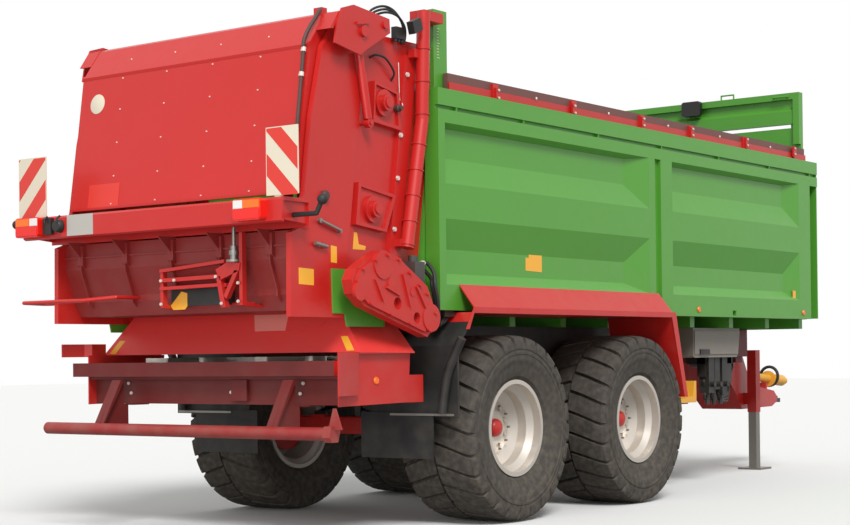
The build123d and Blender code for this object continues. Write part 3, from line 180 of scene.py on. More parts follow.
def new_group(name, kind, sockets):
    """A node group and its inputs; sockets gives (label, INPUT or OUTPUT, type, default) rows."""
    tree = bpy.data.node_groups.new(name, kind)
    for label, side, socket, default in sockets:
        made = tree.interface.new_socket(label, in_out=side, socket_type=f"NodeSocket{socket}")
        if default is not None:
            made.default_value = default
    return tree, tree.nodes.new("NodeGroupInput").outputs


def make_dust_group():
    """Dust that gathers low on the machine and in soft patches."""
    tree, given = new_group("settled_dust", "ShaderNodeTree", (
        ("Color", "OUTPUT", "Color", None), ("Paint", "INPUT", "Color", None),
        ("Dust", "INPUT", "Color", None), ("Scale", "INPUT", "Float", 6.0),
        ("Amount", "INPUT", "Float", 0.25), ("Shade", "INPUT", "Float", 0.08),
    ))
    place = add_node(tree, "ShaderNodeTexCoord").outputs["Object"]
    patch = add_node(tree, "ShaderNodeTexNoise", {"Detail": 6, "Vector": place, "Scale": given["Scale"]})
    height = add_node(tree, "ShaderNodeSeparateXYZ", {0: place}).outputs["Z"]
    low = add_node(tree, "ShaderNodeMapRange", {"From Min": 2.4, "From Max": 0.4, "Value": height})
    spread = add_node(tree, "ShaderNodeMapRange",
                      {"From Min": 0.38, "From Max": 0.72, "Value": patch.outputs["Fac"]})
    both = reckon(tree, "MULTIPLY_ADD", spread.outputs[0], low.outputs[0], 0.12)
    mask = reckon(tree, "MULTIPLY", both, given["Amount"])
    broad = add_node(tree, "ShaderNodeTexNoise", {"Scale": 1.3, "Detail": 3, "Vector": place})
    shade = reckon(tree, "MULTIPLY", broad.outputs["Fac"], given["Shade"])
    darker = add_node(tree, "ShaderNodeMix", {"Factor": shade, "A": given["Paint"], "B": (0.2, 0.2, 0.2, 1)},
                      data_type="RGBA", blend_type="MULTIPLY")
    mixed = add_node(tree, "ShaderNodeMix",
                     {"Factor": mask, "A": darker.outputs["Result"], "B": given["Dust"]}, data_type="RGBA")
    add_node(tree, "NodeGroupOutput", {"Color": mixed.outputs["Result"]})


def make_grain_group():
    """Fine unevenness of a surface; puts out a height for a Bump node and a roughness."""
    tree, given = new_group("fine_grain", "ShaderNodeTree", (
        ("Height", "OUTPUT", "Float", None), ("Roughness", "OUTPUT", "Float", None),
        ("Scale", "INPUT", "Float", 180.0), ("Roughness", "INPUT", "Float", 0.4),
        ("Spread", "INPUT", "Float", 0.12),
    ))
    place = add_node(tree, "ShaderNodeTexCoord").outputs["Object"]
    fine = add_node(tree, "ShaderNodeTexNoise", {"Detail": 3, "Vector": place, "Scale": given["Scale"]})
    wide = add_node(tree, "ShaderNodeTexNoise", {"Scale": 9, "Detail": 5, "Vector": place})
    centred = reckon(tree, "SUBTRACT", wide.outputs["Fac"], 0.5)
    rough = reckon(tree, "MULTIPLY_ADD", centred, given["Spread"], given["Roughness"])
    add_node(tree, "NodeGroupOutput", {"Height": fine.outputs["Fac"], "Roughness": rough})


MATERIALS = {}


def finish(name, paint, rough=0.4, metal=0.0, dust=0.25, shade=0.08, grain=180.0, bump=0.05,
           coat=0.0, spread=0.12, scale=6.0):
    """A material of paint, dust and grain."""
    material = bpy.data.materials.new(name)
    material.use_nodes = True
    tree = material.node_tree
    groups = bpy.data.node_groups
    settled = (*bpy.context.scene.spreader_paint.dust, 1)
    dusty = add_node(tree, "ShaderNodeGroup", {
        "Paint": (*paint, 1), "Dust": settled, "Scale": scale, "Amount": dust, "Shade": shade},
        node_tree=groups["settled_dust"])
    fine = add_node(tree, "ShaderNodeGroup", {"Scale": grain, "Roughness": rough, "Spread": spread},
                    node_tree=groups["fine_grain"])
    lift = add_node(tree, "ShaderNodeBump",
                    {"Strength": bump, "Distance": 0.002, "Height": fine.outputs["Height"]})
    feed(tree.nodes["Principled BSDF"], {
        "Base Color": dusty.outputs["Color"], "Roughness": fine.outputs["Roughness"],
        "Normal": lift.outputs["Normal"], "Metallic": metal, "Coat Weight": coat, "Coat Roughness": 0.12,
    })
    MATERIALS[name] = material


def make_materials():
    paint = bpy.context.scene.spreader_paint
    make_dust_group()
    make_grain_group()
    finish("red_paint", paint.red, rough=0.42, coat=0.12, dust=0.12)
    # red with painted shade, for the shaded hood wall and guard tube
    finish("shaded_red_paint", paint.dark_red, rough=0.5, dust=0.2)
    # the dark red of painted shadow
    finish("painted_shadow_red_paint", paint.painted_shadow_red, rough=0.55, dust=0.06)
    # the lighter red of painted sunlight
    finish("painted_sunlit_red_paint", paint.painted_sunlit_red, rough=0.45, dust=0.04)
    finish("green_paint", paint.green, rough=0.42, coat=0.12, dust=0.12)
    finish("silver_paint", paint.silver, rough=0.36, metal=0.5, dust=0.08)
    finish("tread_rubber", paint.rubber, rough=0.8, dust=0.2, shade=0.5, grain=120, bump=0.25, scale=22)
    finish("black_rubber", paint.black, rough=0.6, dust=0.12, grain=140, bump=0.15)
    finish("black_metal", paint.black, rough=0.48, dust=0.14)
    finish("black_plastic", paint.black, rough=0.5, dust=0.15)
    finish("rim_boards", paint.board, rough=0.6, dust=0.2, grain=60, bump=0.2)
    finish("grey_plastic", paint.grey, rough=0.55, dust=0.3)
    finish("yellow_plastic", paint.yellow, rough=0.42, dust=0.25)
    finish("worn_steel", paint.steel, rough=0.42, metal=0.8, dust=0.3, spread=0.25)
    finish("bright_rod", (0.8, 0.8, 0.8), rough=0.12, metal=1.0, dust=0.02)
    finish("dark_casting", tone(58, 56, 56), rough=0.6, dust=0.35, grain=60, bump=0.25)
    finish("red_casting", paint.red, rough=0.48, coat=0.1, dust=0.15, grain=70, bump=0.2)
    finish("sign_white", tone(220, 210, 188), rough=0.45, dust=0.06)
    finish("sign_red", tone(214, 52, 40), rough=0.35, dust=0.12)
    finish("sticker_yellow", paint.yellow, rough=0.35, dust=0.08)
    finish("reflector_amber", paint.amber, rough=0.35, coat=0.15, dust=0.04)
    finish("lens_red", paint.lens, rough=0.3, coat=0.15, dust=0.02)
    finish("lens_amber", paint.amber, rough=0.3, coat=0.15, dust=0.02)
    finish("lens_clear", tone(225, 225, 222), rough=0.12, coat=0.8, dust=0.05)
    finish("pale_fastener", tone(222, 210, 200), rough=0.4, metal=0.2, dust=0.1)
    finish("faded_sheet", tone(236, 132, 122), rough=0.5, dust=0.08)
    finish("brown_rubber", tone(74, 50, 46), rough=0.6, dust=0.2)
    finish("plate_blank", tone(190, 186, 178), rough=0.4, metal=0.3, dust=0.2)


# ---------------------------------------------------------------- mesh helpers
def piece(name, mesh, material, smooth=None, body="machine"):
    """A finished mesh as an object that rides on a body."""
    made = bpy.data.objects.new(name, mesh)
    bpy.context.scene.collection.objects.link(made)
    if material:
        mesh.materials.clear()
        mesh.materials.append(MATERIALS[material])
    if smooth is not None:
        mesh.shade_smooth()
        mesh.set_sharp_from_angle(angle=radians(smooth))
    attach(made, body)
    return made


def closed(shape, name):
    """A mesh from a bmesh, with its faces turned outwards."""
    bmesh.ops.recalc_face_normals(shape, faces=shape.faces)
    mesh = bpy.data.meshes.new(name)
    shape.to_mesh(mesh)
    shape.free()
    return mesh


def build(name, shape, material, smooth=None, body="machine"):
    """A piece from a bmesh."""
    return piece(name, closed(shape, name), material, smooth, body)


def add_prism(shape, outline, depth):
    """A solid from an outline of points, pushed along the vector depth."""
    bottom = [shape.verts.new(point) for point in outline]
    top = [shape.verts.new(Vector(point) + Vector(depth)) for point in outline]
    shape.faces.new(bottom)
    shape.faces.new(reversed(top))
    count = len(outline)
    for index in range(count):
        after = (index + 1) % count
        shape.faces.new((bottom[after], bottom[index], top[index], top[after]))
    return shape


def add_box(shape, low, high):
    """A box between two corners."""
    x0, y0, z0 = low
    x1, y1, z1 = high
    return add_prism(shape, [(x0, y0, z0), (x1, y0, z0), (x1, y1, z0), (x0, y1, z0)], (0, 0, z1 - z0))


def add_pair(shape, low, high):
    """The same box on both sides of the machine, given by the left one's corners."""
    add_box(shape, low, high)
    add_box(shape, (low[0], -high[1], low[2]), (high[0], -low[1], high[2]))


def add_tube(shape, points, radius, sides=12, closed_ring=False):
    """A round tube along points, mitred at its bends."""
    points = [Vector(point) for point in points]
    count = len(points)
    rings = []
    normal = None
    for index, point in enumerate(points):
        before = points[index - 1] if index or closed_ring else None
        after = points[(index + 1) % count] if index < count - 1 or closed_ring else None
        way = ((after or point) - (before or point)).normalized()
        if normal is None:
            normal = way.orthogonal().normalized()
        normal = (normal - way * normal.dot(way)).normalized()
        second = way.cross(normal)
        rings.append([shape.verts.new(point + (normal * cos(turn) + second * sin(turn)) * radius)
                      for turn in steps_round(sides)])
    pairs = list(zip(rings, rings[1:])) + ([(rings[-1], rings[0])] if closed_ring else [])
    for near, far in pairs:
        for side in range(sides):
            after = (side + 1) % sides
            shape.faces.new((near[side], near[after], far[after], far[side]))
    if not closed_ring:
        shape.faces.new(reversed(rings[0]))
        shape.faces.new(rings[-1])
    return shape


def add_lathe(shape, profile, centre, out, turns=48):
    """A solid turned round the line from centre along out; profile gives (distance out, radius)."""
    out = Vector(out).normalized()
    first = out.orthogonal().normalized()
    second = out.cross(first)
    rings = []
    for distance, radius in profile:
        point = Vector(centre) + out * distance
        if radius == 0:
            rings.append([shape.verts.new(point)])
            continue
        rings.append([shape.verts.new(point + (first * cos(turn) + second * sin(turn)) * radius)
                      for turn in steps_round(turns)])
    for low, high in zip(rings, rings[1:]):
        for step in range(turns):
            after = (step + 1) % turns
            if len(low) == 1:
                shape.faces.new((low[0], high[after], high[step]))
            elif len(high) == 1:
                shape.faces.new((low[step], low[after], high[0]))
            else:
                shape.faces.new((low[step], low[after], high[after], high[step]))
    if profile[0] != profile[-1]:
        for ring in (rings[0][::-1], rings[-1]):
            if len(ring) > 1:
                shape.faces.new(ring)


def steps_round(count):
    """Angles at even steps round a circle."""
    return [2 * pi * index / count for index in range(count)]


SHELLS = {}
SHEET_SUNK = 0.001                          # how deep a sheet sits in the face that carries it
HEAD_SUNK = 0.0015                          # the same for a bolt or rivet head


def surface(node, start, way):
    """The point where a line from start meets a node's solid."""
    if node not in SHELLS:
        mesh = NODES[node].data
        SHELLS[node] = BVHTree.FromPolygons([vert.co for vert in mesh.vertices],
                                            [tuple(face.vertices) for face in mesh.polygons])
    point = SHELLS[node].ray_cast(Vector(start), Vector(way).normalized())[0]
    if point is None:
        raise RuntimeError(f"nothing of {node} lies before {tuple(start)}")
    return point


def side_point(node, side, x, z):
    """The point on a node's outer face on one side of the machine."""
    return surface(node, ahead(x, side * CLEAR, z), (0, -side, 0))


def slanted(low, high):
    """A face that leans between two points, level across: a function for its points, and its normal."""
    out = Vector((low.z - high.z, 0, high.x - low.x)).normalized()

    def at(y, z, lift=0.0):
        share = (z - low.z) / (high.z - low.z)
        return Vector((low.x + (high.x - low.x) * share, y, z)) + out * lift

    return at, out


def flat(name, material, outlines, way, thick=0.0015, body="machine"):
    """Thin sheets on a face: each outline is raised along way by the sheet's thickness."""
    way = Vector(way).normalized()
    shape = bmesh.new()
    for outline in outlines:
        add_prism(shape, [Vector(point) - way * SHEET_SUNK for point in outline], way * (thick + SHEET_SUNK))
    return build(name, shape, material, body=body)


# ---------------------------------------------------------------- geometry nodes
def new_tree(name, inputs):
    """A geometry tree and its inputs: the given rows between the geometry and the material."""
    return new_group(name, "GeometryNodeTree", (
        ("Geometry", "OUTPUT", "Geometry", None), ("Geometry", "INPUT", "Geometry", None),
        *((label, "INPUT", socket, default) for label, socket, default in inputs),
        ("Material", "INPUT", "Material", None),
    ))


def end_tree(tree, given, geometry):
    """Realize the instances, set the material and put the geometry out."""
    real = add_node(tree, "GeometryNodeRealizeInstances", {"Geometry": geometry})
    painted = add_node(tree, "GeometryNodeSetMaterial",
                       {"Geometry": real.outputs["Geometry"], "Material": given["Material"]})
    add_node(tree, "NodeGroupOutput", {"Geometry": painted.outputs["Geometry"]})
    return tree


def fastener_tree():
    """Heads on points: each point's 'way' attribute says where its head faces."""
    tree, given = new_tree("heads_on_points", (
        ("Radius", "Float", 0.01), ("Height", "Float", 0.008), ("Sides", "Int", 6), ("Crown", "Float", 0.7)))
    head = add_node(tree, "GeometryNodeMeshCone", {
        "Side Segments": 1, "Fill Segments": 1, "Vertices": given["Sides"], "Depth": given["Height"],
        "Radius Bottom": given["Radius"],
        "Radius Top": reckon(tree, "MULTIPLY", given["Radius"], given["Crown"]),
    })
    way = add_node(tree, "GeometryNodeInputNamedAttribute", {"Name": "way"}, data_type="FLOAT_VECTOR")
    turn = add_node(tree, "FunctionNodeAlignRotationToVector", {"Vector": way.outputs["Attribute"]}, axis="Z")
    points = add_node(tree, "GeometryNodeMeshToPoints", {"Mesh": given["Geometry"]})
    placed = add_node(tree, "GeometryNodeInstanceOnPoints", {
        "Points": points.outputs["Points"], "Instance": head.outputs["Mesh"],
        "Rotation": turn.outputs["Rotation"],
    })
    return end_tree(tree, given, placed.outputs["Instances"])


def ring_tree():
    """Copies of the given mesh turned round the Y axis."""
    tree, given = new_tree("copies_round_axle", (("Count", "Int", 20),))
    points = add_node(tree, "GeometryNodePoints", {"Count": given["Count"]})
    index = add_node(tree, "GeometryNodeInputIndex").outputs[0]
    share = reckon(tree, "DIVIDE", index, given["Count"])
    turn = add_node(tree, "ShaderNodeCombineXYZ", {"Y": reckon(tree, "MULTIPLY", share, 2 * pi)})
    placed = add_node(tree, "GeometryNodeInstanceOnPoints", {
        "Points": points.outputs[0], "Instance": given["Geometry"], "Rotation": turn.outputs[0]})
    return end_tree(tree, given, placed.outputs["Instances"])


def hose_tree():
    """Round hoses along the edges of the given mesh."""
    tree, given = new_tree("hose_along_points", (("Radius", "Float", 0.01), ("Count", "Int", 40)))
    route = add_node(tree, "GeometryNodeMeshToCurve", {"Mesh": given["Geometry"]})
    bent = add_node(tree, "GeometryNodeCurveSplineType", {"Curve": route.outputs["Curve"]},
                    spline_type="CATMULL_ROM")
    fine = add_node(tree, "GeometryNodeResampleCurve",
                    {"Curve": bent.outputs["Curve"], "Count": given["Count"]})
    ring = add_node(tree, "GeometryNodeCurvePrimitiveCircle", {"Resolution": 12, "Radius": given["Radius"]})
    swept = add_node(tree, "GeometryNodeCurveToMesh", {
        "Fill Caps": True, "Curve": fine.outputs["Curve"], "Profile Curve": ring.outputs["Curve"]})
    return end_tree(tree, given, swept.outputs["Mesh"])


TREES = {"heads_on_points": fastener_tree, "copies_round_axle": ring_tree, "hose_along_points": hose_tree}


def grown(mesh, tree_name, **values):
    """The mesh after a geometry nodes tree, as a plain mesh."""
    tree = bpy.data.node_groups.get(tree_name) or TREES[tree_name]()
    holder = bpy.data.objects.new("holder", mesh)
    bpy.context.scene.collection.objects.link(holder)
    modifier = holder.modifiers.new("nodes", "NODES")
    modifier.node_group = tree
    for item in tree.interface.items_tree:
        if item.in_out == "INPUT" and item.name in values:
            modifier[item.identifier] = values[item.name]
    ready = holder.evaluated_get(bpy.context.evaluated_depsgraph_get())
    made = bpy.data.meshes.new_from_object(ready)
    holder.modifiers.clear()
    bpy.data.objects.remove(holder)
    bpy.data.meshes.remove(mesh)
    return made


def heads(name, places, radius, height, sides=6, crown=0.85, material="pale_fastener",
          body="machine"):
    """Bolt or rivet heads; places holds (point, direction) pairs."""
    mesh = bpy.data.meshes.new(name)
    mesh.from_pydata([tuple(Vector(point) + Vector(way).normalized() * (height / 2 - HEAD_SUNK))
                      for point, way in places], [], [])
    ways = mesh.attributes.new("way", "FLOAT_VECTOR", "POINT")
    for item, (point, way) in zip(ways.data, places):
        item.vector = way
    made = grown(mesh, "heads_on_points", Radius=radius, Height=height, Sides=sides, Crown=crown,
                 Material=MATERIALS[material])
    return piece(name, made, None, body=body)


def reflectors(name, places):
    """Round amber reflectors with a slight dome."""
    heads(name, places, 0.027, 0.009, sides=20, crown=0.8, material="reflector_amber")


def hoses(name, routes, radius, count=40, material="black_rubber", body="machine"):
    """Round hoses, each along a smooth curve through its points."""
    points, edges = [], []
    for route in routes:
        start = len(points)
        points += [tuple(point) for point in route]
        edges += [(start + index, start + index + 1) for index in range(len(route) - 1)]
    mesh = bpy.data.meshes.new(name)
    mesh.from_pydata(points, edges, [])
    made = grown(mesh, "hose_along_points", Radius=radius, Count=count, Material=MATERIALS[material])
    return piece(name, made, None, 50, body)


# ---------------------------------------------------------------- pieces
NODE_FINISH = {
    # the dark_red slot takes the red with painted shade
    "green": "green_paint", "red": "red_paint", "dark_red": "shaded_red_paint", "silver": "silver_paint",
    "tyre": "tread_rubber", "black_rubber": "black_rubber", "black_metal": "black_metal",
    "black_plastic": "black_plastic", "board": "rim_boards", "grey_plastic": "grey_plastic",
    "yellow_plastic": "yellow_plastic", "steel": "worn_steel", "chrome": "bright_rod",
    "cast": "dark_casting", "lens": "lens_red", "sign": "sign_white",
}


def repaint(node, materials, choose=lambda centre: 0):
    """Give a node these materials; choose turns a face's middle into the material's place."""
    mesh = NODES[node].data
    mesh.materials.clear()
    for material in materials:
        mesh.materials.append(MATERIALS[material])
    for face in mesh.polygons:
        face.material_index = choose(face.center)


def housing_part(centre):
    """0 for the disc housing's sides, 1 for its tray underneath, in painted shadow, and 2 for its roof, in
    painted sunlight.
    """
    tray_top, tray_half, roof_foot, roof_back = 1.215, 1.185, 1.258, AXLE_X - 1.71
    if centre.z < tray_top and abs(centre.y) < tray_half:
        return 1
    return 2 if centre.z > roof_foot and centre.x > roof_back else 0


def guard_part(centre):
    """0 for the underride guard's tube, in the red of painted shade, and 1 for its legs, in the dark red of
    painted shadow.
    """
    tube_top, legs_half = 0.785, 1.1
    return int(centre.z > tube_top and abs(centre.y) < legs_half)


class SPREADER_OT_paint(bpy.types.Operator):
    """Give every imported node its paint"""
    bl_idname = "spreader.paint"
    bl_label = "Paint"

    def execute(self, context):
        make_materials()
        slots = {row["node"]: row["material_slot"] for row in frame["record"]["subparts"]}
        for name in NODES:
            repaint(name, [NODE_FINISH[slots[name]]])
        repaint("floor_drive_case", ["red_casting"])
        # The chassis frame, the housing's tray and the guard's legs get the dark red of painted shadow, the
        # guard's tube the red of painted shade and the housing's roof the light red of painted sunlight.
        repaint("chassis_frame", ["painted_shadow_red_paint"])
        repaint("disc_deck", ["red_paint", "painted_shadow_red_paint", "painted_sunlit_red_paint"], housing_part)
        repaint("underride_guard", ["shaded_red_paint", "painted_shadow_red_paint"], guard_part)
        return {"FINISHED"}


def lug_mesh(radius, half, depth, pitch, gap):
    """One slanted lug that wraps from the middle groove over the shoulder."""
    shape = bmesh.new()
    slant, curl, flare = -0.17, 1.15, 0.12
    stations = (            # share of the half width, top radius drop, share of the lug's width
        (0.03, 0.000, 1.0), (0.35, 0.001, 1.0), (0.62, 0.004, 1.0), (0.82, 0.010, 0.99),
        (0.94, 0.022, 0.96), (0.985, 0.044, 0.9), (0.997, 0.072, 0.84),
    )
    width = (pitch - gap) / radius

    def row(y, high, centre, wide):
        turns = [centre + (step / 3 - 0.5) * width * wide for step in range(4)]
        return [shape.verts.new((high * sin(turn), y, high * cos(turn))) for turn in turns]

    tops, feet = [], []
    for share, drop, wide in stations:
        centre = slant * (share - stations[0][0]) ** curl
        tops.append(row(half * share, radius - drop, centre, wide))
        feet.append(row(half * share, radius - depth - drop, centre, wide + flare))
    for near, far, low_near, low_far in zip(tops, tops[1:], feet, feet[1:]):
        shape.faces.new((near[0], low_near[0], low_far[0], far[0]))
        shape.faces.new((near[3], far[3], low_far[3], low_near[3]))
        for step in range(3):
            shape.faces.new((near[step], far[step], far[step + 1], near[step + 1]))
            shape.faces.new((low_near[step], low_near[step + 1], low_far[step + 1], low_far[step]))
    for top, foot in ((tops[0], feet[0]), (tops[-1], feet[-1])):
        for step in range(3):
            shape.faces.new((top[step], top[step + 1], foot[step + 1], foot[step]))
    return closed(shape, "lug")


def joined(meshes, name):
    """One mesh from several."""
    shape = bmesh.new()
    for mesh in meshes:
        shape.from_mesh(mesh)
    made = bpy.data.meshes.new(name)
    shape.to_mesh(made)
    shape.free()
    return made


def tyre_mesh(wheels):
    """A whole tyre round the origin: a smooth carcass with both halves' lugs."""
    low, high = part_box("tyre_rear_right")
    rim_low, rim_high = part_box("rim_rear_right")
    radius, half = (high.z - low.z) / 2, (high.y - low.y) / 2
    flange = (rim_high.z - rim_low.z) / 2
    base = radius - wheels.lug_depth
    wall = [(half * share, base - drop) for share, drop in
            ((0, 0), (0.5, 0.003), (0.80, 0.007), (0.91, 0.014), (0.968, 0.036), (0.988, 0.064),
             (0.990, 0.076), (0.978, 0.080), (0.980, 0.092), (0.998, 0.096), (0.999, 0.112), (0.984, 0.116),
             (0.984, 0.140), (0.972, 0.165), (0.962, 0.169), (0.940, 0.205), (0.925, 0.222))]
    wall += [(half * share, flange + rise) for share, rise in
             ((0.87, 0.028), (0.84, 0.022), (0.80, 0.008), (0.78, 0.002), (0.78, -0.016))]
    profile = [(-y, reach) for y, reach in reversed(wall)] + wall
    shape = bmesh.new()
    add_lathe(shape, profile + profile[:1], (0, 0, 0), (0, 1, 0), turns=96)
    bmesh.ops.remove_doubles(shape, verts=shape.verts, dist=1e-6)
    carcass = closed(shape, "carcass")
    lug = lug_mesh(radius, half, wheels.lug_depth, 2 * pi * radius / wheels.lug_pairs, wheels.lug_gap)
    other = lug.copy()
    other.transform(Matrix.Rotation(pi / wheels.lug_pairs, 4, "Y") @ Matrix.Scale(-1, 4, (0, 1, 0)))
    other.flip_normals()
    tread = grown(joined((lug, other), "lug_pair"), "copies_round_axle", Count=wheels.lug_pairs,
                  Material=MATERIALS["tread_rubber"])
    return joined((carcass, tread), "treaded_tyre")


class SPREADER_OT_tyres(bpy.types.Operator):
    """Make the treaded tyres"""
    bl_idname = "spreader.tyres"
    bl_label = "Tyres"

    def execute(self, context):
        whole = tyre_mesh(context.scene.spreader_wheels)
        for end, name, _ in WHEELS:
            mesh = whole.copy()
            mesh.transform(Matrix.Translation(middle(f"tyre_{end}_{name}")))
            made = piece(f"treaded_tyre_{end}_{name}", mesh, "tread_rubber", 32,
                         f"wheel_{end}_{name}")
            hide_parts(f"tyre_{end}_{name}")
        return {"FINISHED"}


class SPREADER_OT_hubs(bpy.types.Operator):
    """Make the red hub caps and the wheel nuts"""
    bl_idname = "spreader.hubs"
    bl_label = "Hubs"

    def execute(self, context):
        nut = context.scene.spreader_wheels.nut
        disc_face = 0.063                   # from the rim's middle outwards
        studs, stud_circle, stud_height = 10, 0.1675, 0.022
        for end, name, side in WHEELS:
            centre = middle(f"rim_{end}_{name}")
            body = f"wheel_{end}_{name}"
            shape = bmesh.new()
            start = Vector((centre.x, centre.y + side * (disc_face + 0.002), centre.z))
            add_lathe(shape, [(0.0, 0.068), (0.026, 0.066), (0.040, 0.058), (0.050, 0.044), (0.056, 0.022),
                              (0.057, 0.0)], start, (0, side, 0), turns=40)
            build(f"hub_cap_{end}_{name}", shape, "red_paint", 30, body)
            places = []
            for turn in steps_round(studs):
                point = centre + Vector((stud_circle * cos(turn), side * disc_face, stud_circle * sin(turn)))
                places.append((point, (0, side, 0)))
            heads(f"wheel_studs_{end}_{name}", places, nut * 0.6, stud_height, sides=8, crown=0.7,
                  material="worn_steel", body=body)
        return {"FINISHED"}


class SPREADER_OT_flap_trim(bpy.types.Operator):
    """Make the flap's rivets, blank sign, patch and clipped hose"""
    bl_idname = "spreader.flap_trim"
    bl_label = "Flap trim"

    def execute(self, context):
        trim = context.scene.spreader_trim
        fold, foot, top = ahead(-2.010, 0, 3.270), ahead(-2.150, 0, 2.295), ahead(-1.850, 0, 3.490)
        on_face, face = slanted(foot, fold)
        on_slope, slope = slanted(fold, top)
        columns = (0.66, 0.22, -0.22, -0.66)
        places = [(on_face(y, z), face) for z in (3.235, 3.01, 2.77, 2.53, 2.33) for y in columns]
        places += [(on_slope(y, (fold.z + top.z) / 2), slope) for y in columns]
        heads("flap_rivets", places, trim.rivet, 0.005, sides=12, crown=0.6, body="rear_flap")
        shape = bmesh.new()
        add_lathe(shape, [(-0.001, 0.072), (0.0035, 0.072), (0.0045, 0.070), (0.0045, 0.0)],
                  on_face(0.90, 3.069), face, turns=48)
        build("round_sign", shape, "sign_white", 30, "rear_flap")
        patch = ((0.90, 2.478), (0.588, 2.478), (0.588, 2.312), (0.90, 2.312))
        flat("red_patch", "sign_red", [[on_face(y, z) for y, z in patch]], face, 0.002, body="rear_flap")
        cheeks = bmesh.new()
        outline = ((-1.806, 3.500), (-1.846, 3.480), (-2.004, 3.262), (-2.142, 2.300), (-2.040, 2.300),
                   (-1.890, 3.230), (-1.776, 3.400))
        for low in (-1.0775, 1.0695):
            add_prism(cheeks, along(low, outline), (0, 0.008, 0))
        add_box(cheeks, ahead(-1.825, -1.035, 3.495), ahead(-1.770, -0.965, 3.548))
        build("flap_cheeks", cheeks, "red_paint", body="rear_flap")
        side, hose, lift = -1.052, 0.013, 0.017
        route = [ahead(-1.800, -1.0, 3.532), ahead(-1.845, -1.035, 3.525),
                 *along(side, ((-1.905, 3.468), (-1.985, 3.372), (-2.030, 3.290))),
                 *(on_face(side, z, lift) for z in (3.20, 3.0, 2.8, 2.6, 2.4, 2.32))]
        hoses("flap_hose", [route], hose, 70, material="brown_rubber", body="rear_flap")
        shape = bmesh.new()
        for z in (3.235, 3.07, 2.57):
            add_tube(shape, [on_face(side, z - 0.014, lift), on_face(side, z + 0.014, lift)], hose + 0.004)
            add_tube(shape, [on_face(side + 0.022, z), on_face(side + 0.022, z, 0.012)], 0.010, sides=6)
        build("flap_hose_clips", shape, "pale_fastener", 40, "rear_flap")
        return {"FINISHED"}


class SPREADER_OT_board_stripes(bpy.types.Operator):
    """Make the slanted stripes of the warning boards"""
    bl_idname = "spreader.board_stripes"
    bl_label = "Board stripes"

    def execute(self, context):
        low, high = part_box("warning_boards")
        bottom, top = low.z, high.z
        band, rim = 0.141, 0.006
        proud, thick = 0.0012, 0.001
        for name, side, face, near, far in WARNING_BOARDS:
            shape = bmesh.new()
            wide = far - near
            count = int((top - bottom + wide) / band) + 2
            for index in range(-1, count, 2):
                start = bottom - wide + index * band
                corners = [(near, start), (far, start + wide), (far, start + wide + band),
                           (near, start + band)]
                if side > 0:
                    corners = [(near + far - y, z) for y, z in corners]
                cut = clip_band(corners, near + rim, far - rim, bottom + rim, top - rim)
                if len(cut) > 2:
                    add_prism(shape, across(face - proud, cut), (thick, 0, 0))
            build(f"board_stripes_{name}", shape, "sign_red")
        return {"FINISHED"}


def clip_band(corners, near, far, bottom, top):
    """The corners of a (Y, Z) outline cut to a rectangle."""
    for axis, limit, keep in ((0, near, 1), (0, far, -1), (1, bottom, 1), (1, top, -1)):
        kept = []
        for index, point in enumerate(corners):
            before = corners[index - 1]
            inside = (point[axis] - limit) * keep >= 0
            was = (before[axis] - limit) * keep >= 0
            if inside != was:
                share = (limit - before[axis]) / (point[axis] - before[axis])
                kept.append(tuple(a + (b - a) * share for a, b in zip(before, point)))
            if inside:
                kept.append(point)
        corners = kept
    return corners


class SPREADER_OT_lamps(bpy.types.Operator):
    """Make the lenses of the rear lamps, the blank plate and its lamp"""
    bl_idname = "spreader.lamps"
    bl_label = "Lamps"

    def execute(self, context):
        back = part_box("rear_lamps")[0].x
        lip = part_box("lamp_bar")[0].x
        lenses = (            # colour, from and to across the lamp, bottom and top
            ("red", 0.03, 0.97, 2.106, 2.172), ("clear", 0.03, 0.36, 2.175, 2.228),
            ("amber", 0.38, 0.97, 2.175, 2.228),
        )
        for name, side, near, far in (("left", 1, 1.0, 1.24), ("right", -1, 0.86, 1.10)):
            for lens, start, end, low, high in lenses:
                y0, y1 = sorted(side * (near + (far - near) * share) for share in (start, end))
                shape = bmesh.new()
                add_box(shape, (back - 0.005, y0, low), (back + 0.002, y1, high))
                bmesh.ops.recalc_face_normals(shape, faces=shape.faces)
                outer = [edge for edge in shape.edges if all(v.co.x < back for v in edge.verts)]
                bmesh.ops.bevel(shape, geom=outer, offset=0.003, segments=2, affect="EDGES")
                build(f"lamp_{lens}_{name}", shape, f"lens_{lens}", smooth=40)
        plate = add_box(bmesh.new(), (lip - 0.004, 0.500, 2.092), (lip + 0.001, 0.762, 2.236))
        build("number_plate", plate, "plate_blank")
        shape = bmesh.new()
        add_box(shape, (lip - 0.030, 0.90, 2.110), (lip + 0.001, 0.985, 2.226))
        add_lathe(shape, [(-0.002, 0.046), (0.034, 0.044), (0.044, 0.036), (0.046, 0.0)],
                  (lip, 0.835, 2.165), (-1, 0, 0), 28)
        for y in (0.815, 0.945):
            hook = ((0.02, 2.235), (0.05, 2.214), (0.045, 2.19))
            add_tube(shape, [(lip - out, y, z) for out, z in hook], 0.008, sides=10)
        build("plate_lamp", shape, "black_plastic", smooth=40)
        return {"FINISHED"}


